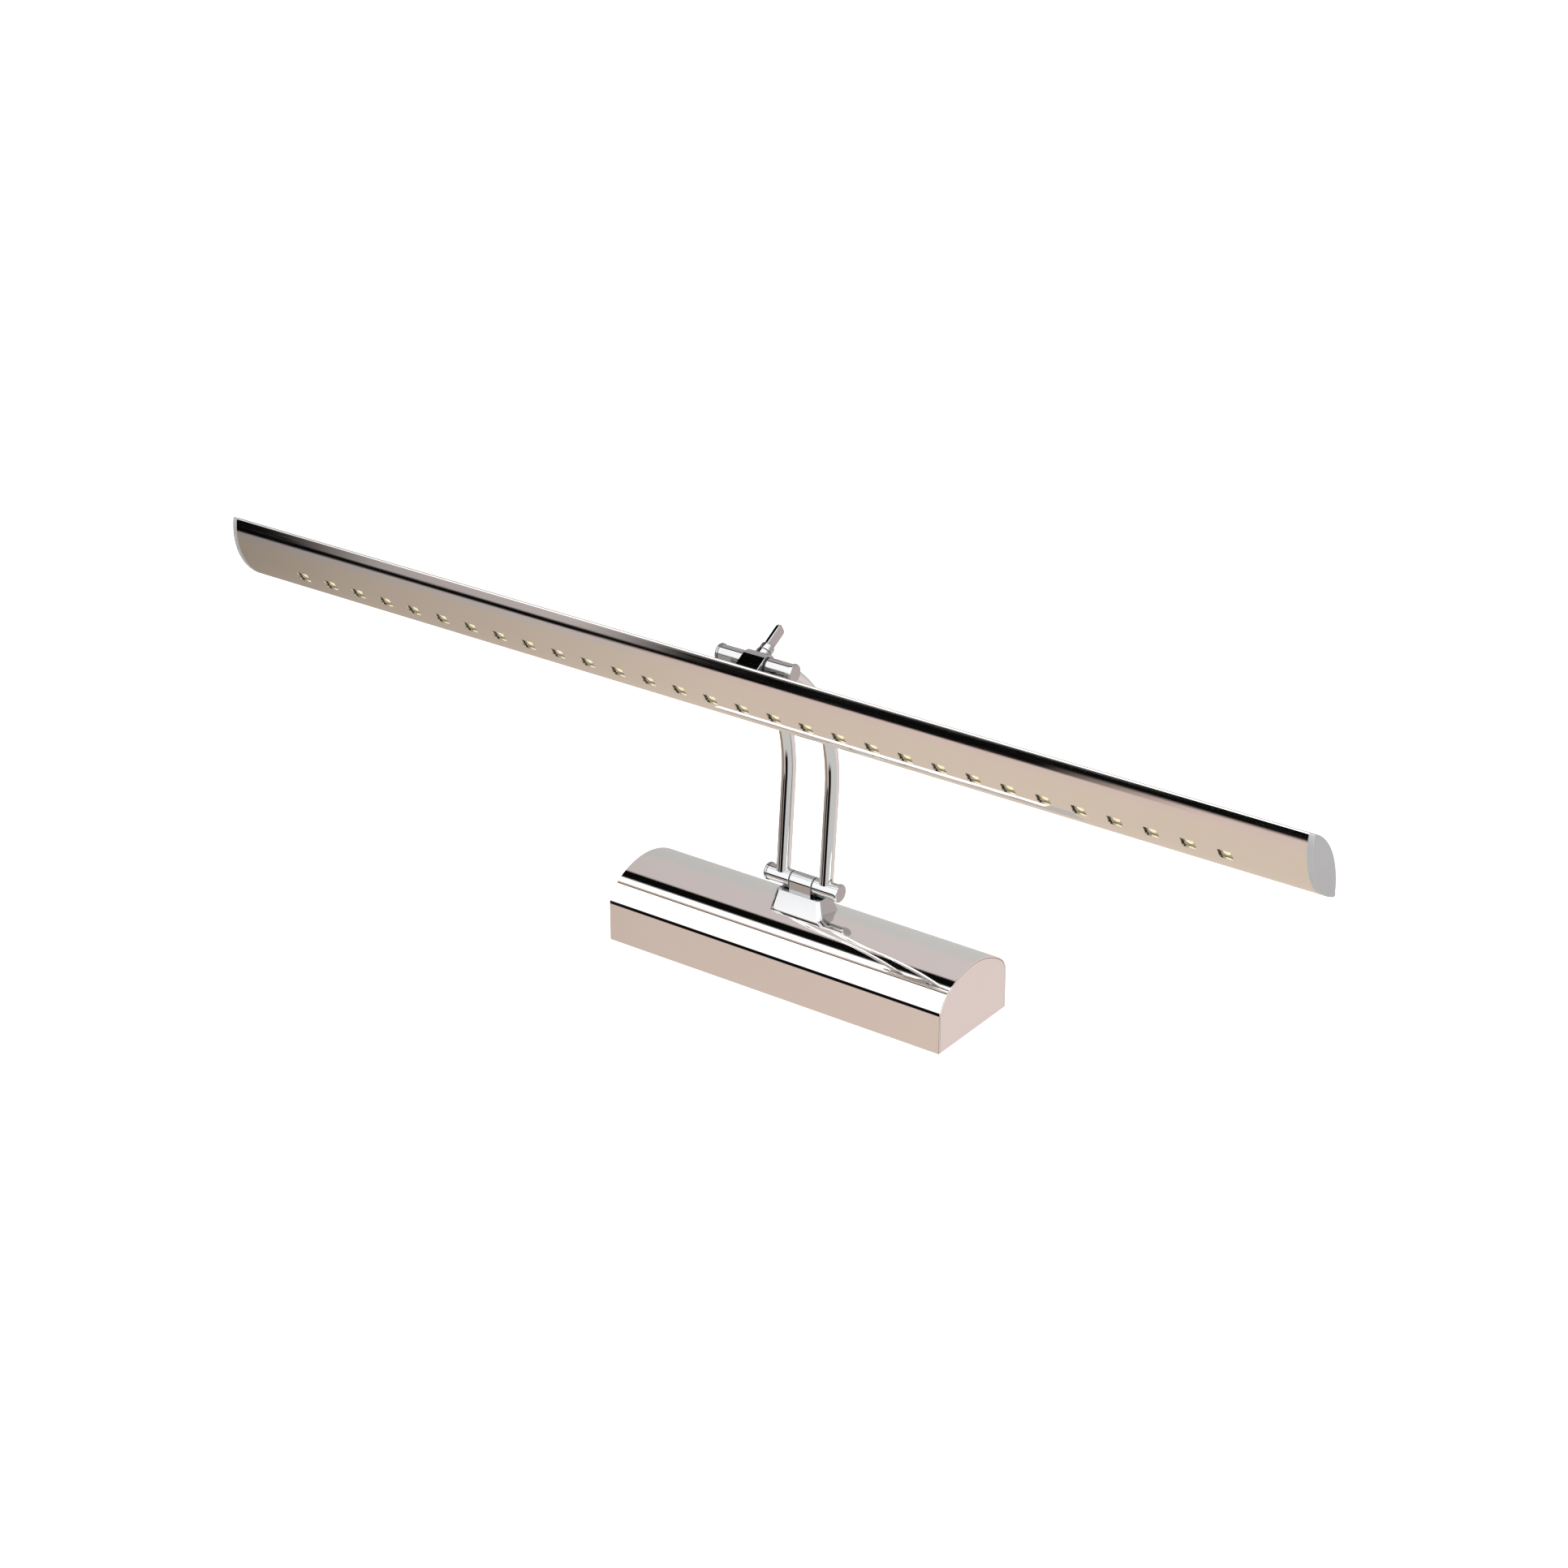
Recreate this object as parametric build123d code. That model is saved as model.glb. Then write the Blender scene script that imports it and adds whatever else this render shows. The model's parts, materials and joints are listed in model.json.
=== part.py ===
from build123d import *
from math import cos, radians, sin, sqrt, tan
import os

# Picture light: a long oval LED head on a two-tube arm, hinged on a polished wall base.
# Millimetres. The wall is the plane Z = 0 and +Z points out of it; X runs along the head;
# the light shines towards -Y, which is down once the base is on the wall. The origin is the
# middle of the base's flat back.

# ---------------------------------------------------------------- fits and clearances
SEAM = 0.1  # gap between fixed pieces that are pushed together
RUN_CLEARANCE = 0.05  # radial gap wherever something turns on or in something
END_PLAY = 0.05  # gap on each flat side of a friction washer
THREAD_CLEARANCE = 0.05  # radial gap between a screw's shank and its tapped hole
HOLE_CLEARANCE = 0.2  # radial gap between a screw's shank and a plain hole
SWING_GAP = 0.6  # free space round a turning barrel

# ---------------------------------------------------------------- wall base
BASE_LENGTH = 178.0
BASE_WIDTH = 52.0
BASE_HEIGHT = 33.0
BASE_WALL_HEIGHT = 17.5  # straight side walls, below the arch
HAUNCH_RADIUS = 10.0
COVER_SHEET = 0.8
END_CAP_SHEET = 1.2
PLATE_SHEET = 1.2
PLATE_FLANGE = 12.0
PLATE_BEND_RADIUS = 1.6
WALL_HOLE_INSET = 14.0  # from each end of the base
WALL_HOLE_RADIUS = 2.5
COVER_SCREW_INSET = 29.0  # from each end of the base
COVER_SCREW_HEIGHT = 7.0
COVER_SCREW_TIP = 1.5  # how far the tip comes through the wall plate
GROMMET_X = 12.0
GROMMET_BORE_RADIUS = 3.6
GROMMET_NECK_RADIUS = 5.6
GROMMET_RIM_RADIUS = 7.5
GROMMET_RIM = 2.0
EARTH_STUD_PLACE = (63.0, -13.0)
EARTH_STUD_RADIUS = 2.0
EARTH_STUD_HEIGHT = 11.0
EARTH_COLLAR_RADIUS = 3.5
EARTH_COLLAR_HEIGHT = 1.0
EARTH_NUT_ACROSS_FLATS = 7.0
EARTH_NUT_HEIGHT = 3.2

# ---------------------------------------------------------------- driver and terminals
DRIVER_LENGTH = 50.0
DRIVER_WIDTH = 30.0
DRIVER_TRAY_HEIGHT = 19.0
DRIVER_LID_THICKNESS = 2.0
DRIVER_WALL = 1.5
DRIVER_X = -33.0
DRIVER_EAR = 7.0
DRIVER_EAR_WIDTH = 12.0
DRIVER_EAR_THICKNESS = 2.5
DRIVER_BOARD_THICKNESS = 1.6
DRIVER_BOARD_RISE = 4.0
DRIVER_LEDGE = 3.0  # shelf at each end of the tray that carries the board
DRIVER_EXIT_OFFSET = 6.0  # the two lead slots in the driver's end wall, each side of its middle
TRANSFORMER_SIZE = (17.0, 15.0, 10.0)
CAPACITOR_RADIUS = 3.6
CAPACITOR_LENGTH = 10.0
CAPACITOR_EDGE_RADIUS = 0.6
CAPACITOR_GAP = 1.0  # to the transformer
CAPACITOR_STAGGER = 5.0  # to opposite sides of the board's middle
TERMINAL_X = 39.0
TERMINAL_SIZE = (30.0, 16.0, 13.0)
TERMINAL_POLES = 3
TERMINAL_PITCH = 9.0
TERMINAL_SCREW_RADIUS = 1.7
TERMINAL_ENTRY_RADIUS = 1.5
TERMINAL_ENTRY_HEIGHT = 4.55  # above the wall plate
TERMINAL_SCREW_INSET = 4.0  # from the block's long sides
TERMINAL_SCREW_SINK = 1.5
TERMINAL_GROOVE_WIDTH = 1.5
TERMINAL_GROOVE_DEPTH = 4.0
TERMINAL_CORNER_RADIUS = 1.0
TERMINAL_MOUNT_SINK = 3.0  # the mounting screw's seat below the block's top

# ---------------------------------------------------------------- hinges
HINGE_RISE = 12.0  # lower hinge axis above the crown of the base
BARREL_RADIUS = 3.8
BARREL_OUTER_END = 18.2  # from the middle of the lamp
BARREL_EDGE_RADIUS = 0.3
KNUCKLE_HALF_WIDTH = 5.7
HEAD_KNUCKLE_RADIUS = 4.8
WASHER_THICKNESS = 0.5
WASHER_RADIUS = 3.6
PIN_RADIUS = 2.0
PIN_BORE_RADIUS = 1.3
END_CAP_RADIUS = 4.2
END_CAP_THICKNESS = 1.5
END_CAP_SPIGOT = 3.0
LEAD_HOLE_X = 3.2
LEAD_HOLE_RADIUS = 1.3
FOOT_LENGTH = 27.0
FOOT_WIDTH = 15.0
FOOT_TAPER = 12.0  # degrees
FOOT_CORNER_RADIUS = 2.0
FOOT_SKIRT = 2.0  # below the crown's top, cut back to the arch
FOOT_SCREW_SPACING = 17.0
FOOT_SCREW_DEPTH = 5.0
FOOT_PLATE_LENGTH = 36.0
FOOT_PLATE_WIDTH = 18.0
FOOT_PLATE_THICKNESS = 1.5

# ---------------------------------------------------------------- arm
ARM_TUBE_SPACING = 23.0
ARM_TUBE_RADIUS = 3.2
ARM_TUBE_WALL = 0.8
ARM_LEAN = 5.0  # degrees, backwards from the base's normal
ARM_STRAIGHT = 45.7
ARM_BEND_RADIUS = 74.0
ARM_SWEEP = 66.4  # degrees

# ---------------------------------------------------------------- head
HEAD_LENGTH = 550.0
HEAD_CHORD = 40.5  # between the sharp corners, before they are rounded
HEAD_EDGE_RADIUS = 0.6
HEAD_FRONT_BULGE = 8.0
HEAD_BACK_BULGE = 6.6
HEAD_WALL = 0.8
HEAD_TILT = 30.4  # degrees, the face turned back towards the wall
HEAD_STANDOFF = 16.5  # upper hinge axis to the oval's middle
HEAD_RAISE = 1.5  # the oval's middle above the hinge axis, along the chord
END_FLANGE = 2.5
END_FLANGE_CHAMFER = 0.4
END_PLUG = 8.0
END_PLUG_WALL = 1.6
LED_COUNT = 30
LED_PITCH = 16.3
LED_SIZE = 5.0
LED_THICKNESS = 1.6
LED_RECESS = 1.1
LED_WELL_RADIUS = 2.0
LED_WELL_DEPTH = 0.3
WINDOW_LENGTH = 6.4
WINDOW_WIDTH = 5.2
WINDOW_CORNER_RADIUS = 0.5
LED_BOARD_LENGTH = 500.0
LED_BOARD_WIDTH = 13.0
LED_BOARD_THICKNESS = 1.2
RAIL_WIDTH = 16.0
RAIL_WALL = 1.2
KNUCKLE_PAD_LENGTH = 28.0
KNUCKLE_PAD_WIDTH = 15.0
KNUCKLE_PAD_THICKNESS = 2.2
KNUCKLE_PAD_CORNER_RADIUS = 3.0
KNUCKLE_SCREW_SPACING = 20.0
BOARD_SCREW_PLACES = (-14, -5, 5, 14)  # counted in LED pitches from the middle
BOARD_SCREW_TIP = 1.0  # how far the tip comes through the rail

# ---------------------------------------------------------------- thumb screw
THUMB_BOSS_RADIUS = 3.5
THUMB_BOSS_HEIGHT = 5.8  # from the hinge axis
THUMB_GAP = 0.4
THUMB_SHANK_RADIUS = 1.5
THUMB_TIP_GAP = 0.2
THUMB_COLLAR_RADIUS = 3.1
THUMB_COLLAR_HEIGHT = 3.6
THUMB_COLLAR_CHAMFER = 0.8
THUMB_WING_WIDTH = 5.8
THUMB_WING_LENGTH = 10.2
THUMB_WING_THICKNESS = 2.0
THUMB_WING_CORNER_RADIUS = 1.6

# ---------------------------------------------------------------- screws and leads
SCREW_RADIUS = 1.5
SCREW_HEAD_RADIUS = 2.6
SCREW_HEAD_HEIGHT = 1.8
SMALL_SCREW_RADIUS = 1.0
SMALL_SCREW_HEAD_RADIUS = 1.8
SMALL_SCREW_HEAD_HEIGHT = 1.0
RECESS_WIDTH = 0.6
LEAD_DIAMETER = 1.2
MAINS_LEAD_DIAMETER = 2.0

# ---------------------------------------------------------------- places worked out from the sizes above
BARREL_INNER_END = KNUCKLE_HALF_WIDTH + WASHER_THICKNESS + 2 * END_PLAY
TUBE_X = ARM_TUBE_SPACING / 2
LOWER_AXIS_Z = BASE_HEIGHT + HINGE_RISE
LEAN = radians(ARM_LEAN)
TURN_END = radians(ARM_SWEEP) - LEAN
BEND_START = (ARM_STRAIGHT * sin(LEAN), LOWER_AXIS_Z + ARM_STRAIGHT * cos(LEAN))
BEND_CENTRE = (
    BEND_START[0] - ARM_BEND_RADIUS * cos(LEAN),
    BEND_START[1] + ARM_BEND_RADIUS * sin(LEAN),
)


def on_bend(angle):
    """Y and Z of the arm's bend at an angle above the bend centre's +Y side."""
    y = BEND_CENTRE[0] + ARM_BEND_RADIUS * cos(angle)
    z = BEND_CENTRE[1] + ARM_BEND_RADIUS * sin(angle)
    return y, z


UPPER_AXIS = on_bend(TURN_END)
TILT = radians(HEAD_TILT)

# The head is drawn in its own frame: X along the head, the hinge axis at Y = Z = 0, +Z out of
# the head's back and +Y down the oval's chord.
HEAD_FRAME = Plane(origin=(0, *UPPER_AXIS), x_dir=(1, 0, 0), z_dir=(0, cos(TILT), sin(TILT)))
BODY_HALF_LENGTH = HEAD_LENGTH / 2 - END_FLANGE
CHORD_Z = -HEAD_STANDOFF
LED_FRONT_Z = CHORD_Z - HEAD_FRONT_BULGE + LED_RECESS
LED_BACK_Z = LED_FRONT_Z + LED_THICKNESS
BOARD_BACK_Z = LED_BACK_Z + LED_BOARD_THICKNESS


# ================================================================ helpers
def solids(shapes):
    """Several separate solids as one node."""
    return Compound([solid for shape in shapes for solid in shape.solids()])


def bar(radius, start, end):
    """Round bar along X from start to end."""
    return Pos(start, 0, 0) * Rot(0, 90, 0) * Cylinder(
        radius, end - start, align=(Align.CENTER, Align.CENTER, Align.MIN)
    )


def post(radius, bottom, top):
    """Round bar along Z from bottom to top."""
    return Pos(0, 0, bottom) * Cylinder(radius, top - bottom, align=(Align.CENTER, Align.CENTER, Align.MIN))


def block(length, width, bottom, top):
    """Box centred in X and Y that stands between two heights."""
    return Pos(0, 0, bottom) * Box(length, width, top - bottom, align=(Align.CENTER, Align.CENTER, Align.MIN))


def screw(radius, length, head_radius, head_height):
    """Pan-head screw: underside of the head at Z = 0, shank down, crossed recess on top."""
    head = post(head_radius, 0, head_height)
    head = fillet(head.edges().group_by(Axis.Z)[-1], head_height * 0.45)
    recess_bottom = head_height * 0.45
    slot = block(head_radius * 1.1, RECESS_WIDTH, recess_bottom, head_height + 1)
    recess = slot + Rot(0, 0, 90) * slot
    return post(radius, -length, 0) + head - recess


def standard_screw(length):
    return screw(SCREW_RADIUS, length, SCREW_HEAD_RADIUS, SCREW_HEAD_HEIGHT)


def small_screw(length):
    return screw(SMALL_SCREW_RADIUS, length, SMALL_SCREW_HEAD_RADIUS, SMALL_SCREW_HEAD_HEIGHT)


def lead(points, diameter):
    """Round lead on straight runs joined by arcs, each arc as large as its two runs allow."""
    corners = [Vector(*point) for point in points]
    radii = []
    for start, corner, end in zip(corners, corners[1:], corners[2:]):
        before = corner - start
        after = end - corner
        half_turn = radians(before.get_angle(after)) / 2
        radii.append(0.45 * min(before.length, after.length) / tan(half_turn))
    path = FilletPolyline(*corners, radius=radii)
    section = Plane(origin=corners[0], z_dir=corners[1] - corners[0]) * Circle(diameter / 2)
    tube = sweep(section, path=path)
    ratio = tube.volume / (path.length * section.area)
    print("lead radii", [round(radius, 1) for radius in radii], "volume ratio", round(ratio, 4))
    return tube


# ================================================================ base section
def crown_radius():
    """Radius of the arch between the two haunches."""
    rise = BASE_HEIGHT - BASE_WALL_HEIGHT
    run = BASE_WIDTH / 2 - HAUNCH_RADIUS
    return (run**2 + rise**2 - HAUNCH_RADIUS**2) / (2 * (rise - HAUNCH_RADIUS))


def arch(inset):
    """Face of the base's section, drawn inset inside its outer skin."""
    half = BASE_WIDTH / 2 - inset
    run = BASE_WIDTH / 2 - HAUNCH_RADIUS
    haunch = HAUNCH_RADIUS - inset
    crown = crown_radius() - inset
    crown_z = BASE_HEIGHT - crown_radius()
    lean = Vector(run, BASE_WALL_HEIGHT - crown_z).normalized()
    middle = (lean + Vector(1, 0)).normalized()
    joint = Vector(0, crown_z) + lean * crown
    shoulder = Vector(run, BASE_WALL_HEIGHT) + middle * haunch
    lines = [
        Line((-half, 0), (-half, BASE_WALL_HEIGHT)),
        ThreePointArc((-half, BASE_WALL_HEIGHT), (-shoulder.X, shoulder.Y), (-joint.X, joint.Y)),
        ThreePointArc((-joint.X, joint.Y), (0, BASE_HEIGHT - inset), (joint.X, joint.Y)),
        ThreePointArc((joint.X, joint.Y), (shoulder.X, shoulder.Y), (half, BASE_WALL_HEIGHT)),
        Line((half, BASE_WALL_HEIGHT), (half, 0)),
        Line((half, 0), (-half, 0)),
    ]
    return Plane.YZ * make_face(lines)


def crown_cylinder(inset):
    """Solid round bar whose top is the crown of the arch, drawn inset inside it."""
    crown = crown_radius()
    return Pos(0, 0, BASE_HEIGHT - crown) * bar(crown - inset, -BASE_LENGTH / 2, BASE_LENGTH / 2)


def at_foot_screws(shape):
    return [Pos(side * FOOT_SCREW_SPACING / 2, 0, 0) * shape for side in (-1, 1)]


def at_wall_holes(shape):
    reach = BASE_LENGTH / 2 - WALL_HOLE_INSET
    return [Pos(side * reach, 0, 0) * shape for side in (-1, 1)]


def at_cover_screws(shape):
    """Shapes drawn along +Z, turned to point out of the base's +Y wall."""
    turned = Rot(-90, 0, 0) * shape
    reach = BASE_LENGTH / 2 - COVER_SCREW_INSET
    places = [Pos(side * reach, 0, COVER_SCREW_HEIGHT) for side in (-1, 1)]
    return [place * turned for place in places]


# ================================================================ base pieces
def make_wall_plate():
    half = BASE_WIDTH / 2 - COVER_SHEET - 2 * SEAM
    length = BASE_LENGTH - 2 * END_CAP_SHEET - 4 * SEAM
    outer = block(length, 2 * half, 0, PLATE_FLANGE)
    bends = outer.edges().filter_by(Axis.X).group_by(Axis.Z)[0]
    outer = fillet(bends, PLATE_BEND_RADIUS)
    inner_half = half - PLATE_SHEET
    inner = block(length, 2 * inner_half, PLATE_SHEET, PLATE_FLANGE + 1)
    plate = outer - inner
    plate -= at_wall_holes(post(WALL_HOLE_RADIUS, -1, PLATE_SHEET + 1))
    plate -= Pos(GROMMET_X, 0, 0) * post(GROMMET_NECK_RADIUS + SEAM, -1, PLATE_SHEET + 1)
    plate -= Pos(*EARTH_STUD_PLACE, 0) * post(EARTH_STUD_RADIUS, -1, PLATE_SHEET + 1)
    for place in driver_ear_places():
        plate -= place * post(SCREW_RADIUS + THREAD_CLEARANCE, -1, PLATE_SHEET + 1)
    plate -= Pos(TERMINAL_X, 0, 0) * post(SMALL_SCREW_RADIUS + THREAD_CLEARANCE, -1, PLATE_SHEET + 1)
    plate -= at_cover_screws(post(SCREW_RADIUS + THREAD_CLEARANCE, 0, BASE_WIDTH / 2))
    return plate


def make_base_cover():
    cover = extrude(arch(0) - arch(COVER_SHEET), BASE_LENGTH / 2, both=True)
    through = post(SCREW_RADIUS + HOLE_CLEARANCE, BASE_WALL_HEIGHT, BASE_HEIGHT + 1)
    cover -= at_foot_screws(through)
    cover -= Pos(LEAD_HOLE_X, 0, 0) * post(LEAD_HOLE_RADIUS, BASE_WALL_HEIGHT, BASE_HEIGHT + 1)
    cover -= at_cover_screws(post(SCREW_RADIUS + HOLE_CLEARANCE, 0, BASE_WIDTH / 2 + 1))
    return cover


def make_base_end_cap(side):
    face = arch(COVER_SHEET + SEAM)
    outer_end = side * BASE_LENGTH / 2
    return Pos(outer_end, 0, 0) * extrude(face, -side * END_CAP_SHEET)


def make_cover_screws():
    length = COVER_SHEET + 2 * SEAM + PLATE_SHEET + COVER_SCREW_TIP
    seated = Pos(0, 0, BASE_WIDTH / 2) * standard_screw(length)
    return solids(at_cover_screws(seated))


def make_cable_grommet():
    rim = post(GROMMET_RIM_RADIUS, PLATE_SHEET + SEAM, PLATE_SHEET + SEAM + GROMMET_RIM)
    rim = fillet(rim.edges().group_by(Axis.Z)[-1], GROMMET_RIM * 0.4)
    neck = post(GROMMET_NECK_RADIUS, 0, PLATE_SHEET + SEAM)
    bore = post(GROMMET_BORE_RADIUS, -1, PLATE_SHEET + SEAM + GROMMET_RIM + 1)
    return Pos(GROMMET_X, 0, 0) * (rim + neck - bore)


def make_earth_stud():
    stud = post(EARTH_STUD_RADIUS, 0, PLATE_SHEET + EARTH_STUD_HEIGHT)
    collar = post(EARTH_COLLAR_RADIUS, PLATE_SHEET, PLATE_SHEET + EARTH_COLLAR_HEIGHT)
    return Pos(*EARTH_STUD_PLACE, 0) * (stud + collar)


def make_earth_nut():
    bottom = PLATE_SHEET + EARTH_COLLAR_HEIGHT + MAINS_LEAD_DIAMETER + 2 * SEAM
    hexagon = RegularPolygon(EARTH_NUT_ACROSS_FLATS / 2, 6, major_radius=False)
    nut = Pos(0, 0, bottom) * extrude(hexagon, EARTH_NUT_HEIGHT)
    nut -= post(EARTH_STUD_RADIUS + THREAD_CLEARANCE, 0, bottom + EARTH_NUT_HEIGHT + 1)
    return Pos(*EARTH_STUD_PLACE, 0) * nut


# ================================================================ driver and terminals
def driver_ear_places():
    reach = DRIVER_LENGTH / 2 + DRIVER_EAR / 2
    return [Pos(DRIVER_X + side * reach, 0, 0) for side in (-1, 1)]


def make_driver_tray():
    floor = PLATE_SHEET
    top = floor + DRIVER_TRAY_HEIGHT
    tray = block(DRIVER_LENGTH, DRIVER_WIDTH, floor, top)
    tray = fillet(tray.edges().filter_by(Axis.Z), DRIVER_WALL)
    inside_length = DRIVER_LENGTH - 2 * DRIVER_WALL
    inside_width = DRIVER_WIDTH - 2 * DRIVER_WALL
    tray -= block(inside_length, inside_width, floor + DRIVER_WALL, top + 1)
    board_bottom = floor + DRIVER_BOARD_RISE
    for side in (-1, 1):
        ledge = block(DRIVER_LEDGE, inside_width, floor + DRIVER_WALL, board_bottom)
        tray += Pos(side * (inside_length - DRIVER_LEDGE) / 2, 0, 0) * ledge
    ears = block(DRIVER_LENGTH + 2 * DRIVER_EAR, DRIVER_EAR_WIDTH, floor, floor + DRIVER_EAR_THICKNESS)
    ears -= block(DRIVER_LENGTH, DRIVER_EAR_WIDTH, floor, floor + DRIVER_EAR_THICKNESS)
    tray += ears
    exit_z = lead_exit_height()
    exit_half = MAINS_LEAD_DIAMETER / 2 + 2 * SEAM
    exit_slot = block(3 * DRIVER_WALL, 2.6 * MAINS_LEAD_DIAMETER, exit_z - exit_half, exit_z + exit_half)
    for side in (-1, 1):
        tray -= Pos(DRIVER_LENGTH / 2, side * DRIVER_EXIT_OFFSET, 0) * exit_slot
    tray = Pos(DRIVER_X, 0, 0) * tray
    for place in driver_ear_places():
        tray -= place * post(SCREW_RADIUS + HOLE_CLEARANCE, 0, floor + DRIVER_EAR_THICKNESS + 1)
    return tray


def lead_exit_height():
    return PLATE_SHEET + DRIVER_BOARD_RISE + DRIVER_BOARD_THICKNESS + MAINS_LEAD_DIAMETER


def make_driver_lid():
    bottom = PLATE_SHEET + DRIVER_TRAY_HEIGHT
    lid = block(DRIVER_LENGTH, DRIVER_WIDTH, bottom, bottom + DRIVER_LID_THICKNESS)
    lid = fillet(lid.edges().filter_by(Axis.Z), DRIVER_WALL)
    inset = 2 * (DRIVER_WALL + SEAM)
    lip = block(DRIVER_LENGTH - inset, DRIVER_WIDTH - inset, bottom - DRIVER_WALL, bottom)
    inside = inset + 2 * DRIVER_WALL
    lip -= block(DRIVER_LENGTH - inside, DRIVER_WIDTH - inside, bottom - DRIVER_WALL - 1, bottom)
    return Pos(DRIVER_X, 0, 0) * (lid + lip)


def make_driver_board():
    bottom = PLATE_SHEET + DRIVER_BOARD_RISE
    inset = 2 * (DRIVER_WALL + SEAM)
    top = bottom + DRIVER_BOARD_THICKNESS
    return Pos(DRIVER_X, 0, 0) * block(DRIVER_LENGTH - inset, DRIVER_WIDTH - inset, bottom, top)


def board_top():
    return PLATE_SHEET + DRIVER_BOARD_RISE + DRIVER_BOARD_THICKNESS


def make_driver_transformer():
    length, width, height = TRANSFORMER_SIZE
    base = board_top()
    bobbin = block(length * 0.7, width, base, base + height)
    core = block(length, width * 0.6, base + height * 0.25, base + height * 0.75)
    return Pos(DRIVER_X, 0, 0) * (bobbin + core)


def make_driver_capacitors():
    reach = TRANSFORMER_SIZE[0] / 2 + CAPACITOR_RADIUS + CAPACITOR_GAP
    can = post(CAPACITOR_RADIUS, board_top(), board_top() + CAPACITOR_LENGTH)
    can = fillet(can.edges().group_by(Axis.Z)[-1], CAPACITOR_EDGE_RADIUS)
    places = [Pos(DRIVER_X + side * reach, side * CAPACITOR_STAGGER, 0) for side in (-1, 1)]
    return solids([place * can for place in places])


def make_driver_screws():
    head_seat = PLATE_SHEET + DRIVER_EAR_THICKNESS
    seated = Pos(0, 0, head_seat) * standard_screw(DRIVER_EAR_THICKNESS + PLATE_SHEET)
    return solids([place * seated for place in driver_ear_places()])


def terminal_wells():
    """Centres of the clamping screws: one row on each side of the block."""
    reach = TERMINAL_SIZE[1] / 2 - TERMINAL_SCREW_INSET
    middle = (TERMINAL_POLES - 1) / 2
    wells = []
    for pole in range(TERMINAL_POLES):
        for side in (-1, 1):
            wells.append((TERMINAL_X + (pole - middle) * TERMINAL_PITCH, side * reach))
    return wells


def make_terminal_block():
    length, width, height = TERMINAL_SIZE
    top = PLATE_SHEET + height
    body = Pos(TERMINAL_X, 0, 0) * block(length, width, PLATE_SHEET, top)
    body = fillet(body.edges().filter_by(Axis.Z), TERMINAL_CORNER_RADIUS)
    entry_height = PLATE_SHEET + TERMINAL_ENTRY_HEIGHT
    for x, y in terminal_wells():
        body -= Pos(x, y, 0) * post(TERMINAL_SCREW_RADIUS + SEAM, entry_height, top + 1)
        mouth = Pos(x, 0, entry_height) * Rot(90, 0, 0) * Cylinder(TERMINAL_ENTRY_RADIUS, width + 2)
        body -= mouth
    groove = block(TERMINAL_GROOVE_WIDTH, width + 2, top - TERMINAL_GROOVE_DEPTH, top + 1)
    for side in (-1, 1):
        body -= Pos(TERMINAL_X + side * TERMINAL_PITCH / 2, 0, 0) * groove
    body -= Pos(TERMINAL_X, 0, 0) * post(SMALL_SCREW_RADIUS + HOLE_CLEARANCE, 0, top + 1)
    sink = post(SMALL_SCREW_HEAD_RADIUS + SEAM, top - TERMINAL_MOUNT_SINK, top + 1)
    body -= Pos(TERMINAL_X, 0, 0) * sink
    return body


def make_terminal_screws():
    top = PLATE_SHEET + TERMINAL_SIZE[2] - TERMINAL_SCREW_SINK
    bottom = PLATE_SHEET + TERMINAL_ENTRY_HEIGHT + TERMINAL_ENTRY_RADIUS
    grub = post(TERMINAL_SCREW_RADIUS, bottom, top)
    grub -= block(2 * TERMINAL_SCREW_RADIUS + 1, RECESS_WIDTH, top - 1.0, top + 1)
    return solids([Pos(x, y, 0) * grub for x, y in terminal_wells()])


def make_terminal_mounting_screw():
    seat = PLATE_SHEET + TERMINAL_SIZE[2] - TERMINAL_MOUNT_SINK
    return Pos(TERMINAL_X, 0, seat) * small_screw(seat)


# ================================================================ leads inside the base
def make_supply_leads():
    """Two mains leads from the terminal block round the cable entry to the driver."""
    entry_height = PLATE_SHEET + TERMINAL_ENTRY_HEIGHT
    start_y = -TERMINAL_SIZE[1] / 2 + 1.0
    driver_end = DRIVER_X + DRIVER_LENGTH / 2 - DRIVER_WALL
    exit_z = lead_exit_height()
    leads = []
    for number, pole in enumerate((-1, 0)):
        x = TERMINAL_X + pole * TERMINAL_PITCH
        lane = -13.5 - 2.6 * number
        exit_y = -DRIVER_EXIT_OFFSET + 1.2 * (1 - 2 * number)
        points = [
            (x, start_y, entry_height),
            (x, lane + 1.0, entry_height),
            (x - 8.0, lane - 1.5, entry_height + 1.0),
            (GROMMET_X + 2.0, lane - 1.0, entry_height + 1.5),
            (driver_end + 9.0, exit_y - 1.6, exit_z),
            (driver_end - 1.0, exit_y, exit_z),
        ]
        leads.append(lead(points, MAINS_LEAD_DIAMETER))
    return solids(leads)


def make_earth_lead():
    """Earth lead from the terminal block to the stud on the wall plate."""
    x = TERMINAL_X + TERMINAL_PITCH
    start_y = -TERMINAL_SIZE[1] / 2 + 1.0
    stud_x, stud_y = EARTH_STUD_PLACE
    height = PLATE_SHEET + TERMINAL_ENTRY_HEIGHT
    lug_height = PLATE_SHEET + EARTH_COLLAR_HEIGHT + SEAM + MAINS_LEAD_DIAMETER / 2
    reach = EARTH_STUD_RADIUS + SEAM + MAINS_LEAD_DIAMETER / 2
    points = [
        (x, start_y, height),
        (x, start_y - 5.5, height),
        (x + 5.0, stud_y - 5.0, height - 1.2),
        (stud_x - 3.5, stud_y - reach - 0.8, lug_height),
        (stud_x + 1.5, stud_y - reach, lug_height),
    ]
    return lead(points, MAINS_LEAD_DIAMETER)


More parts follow.
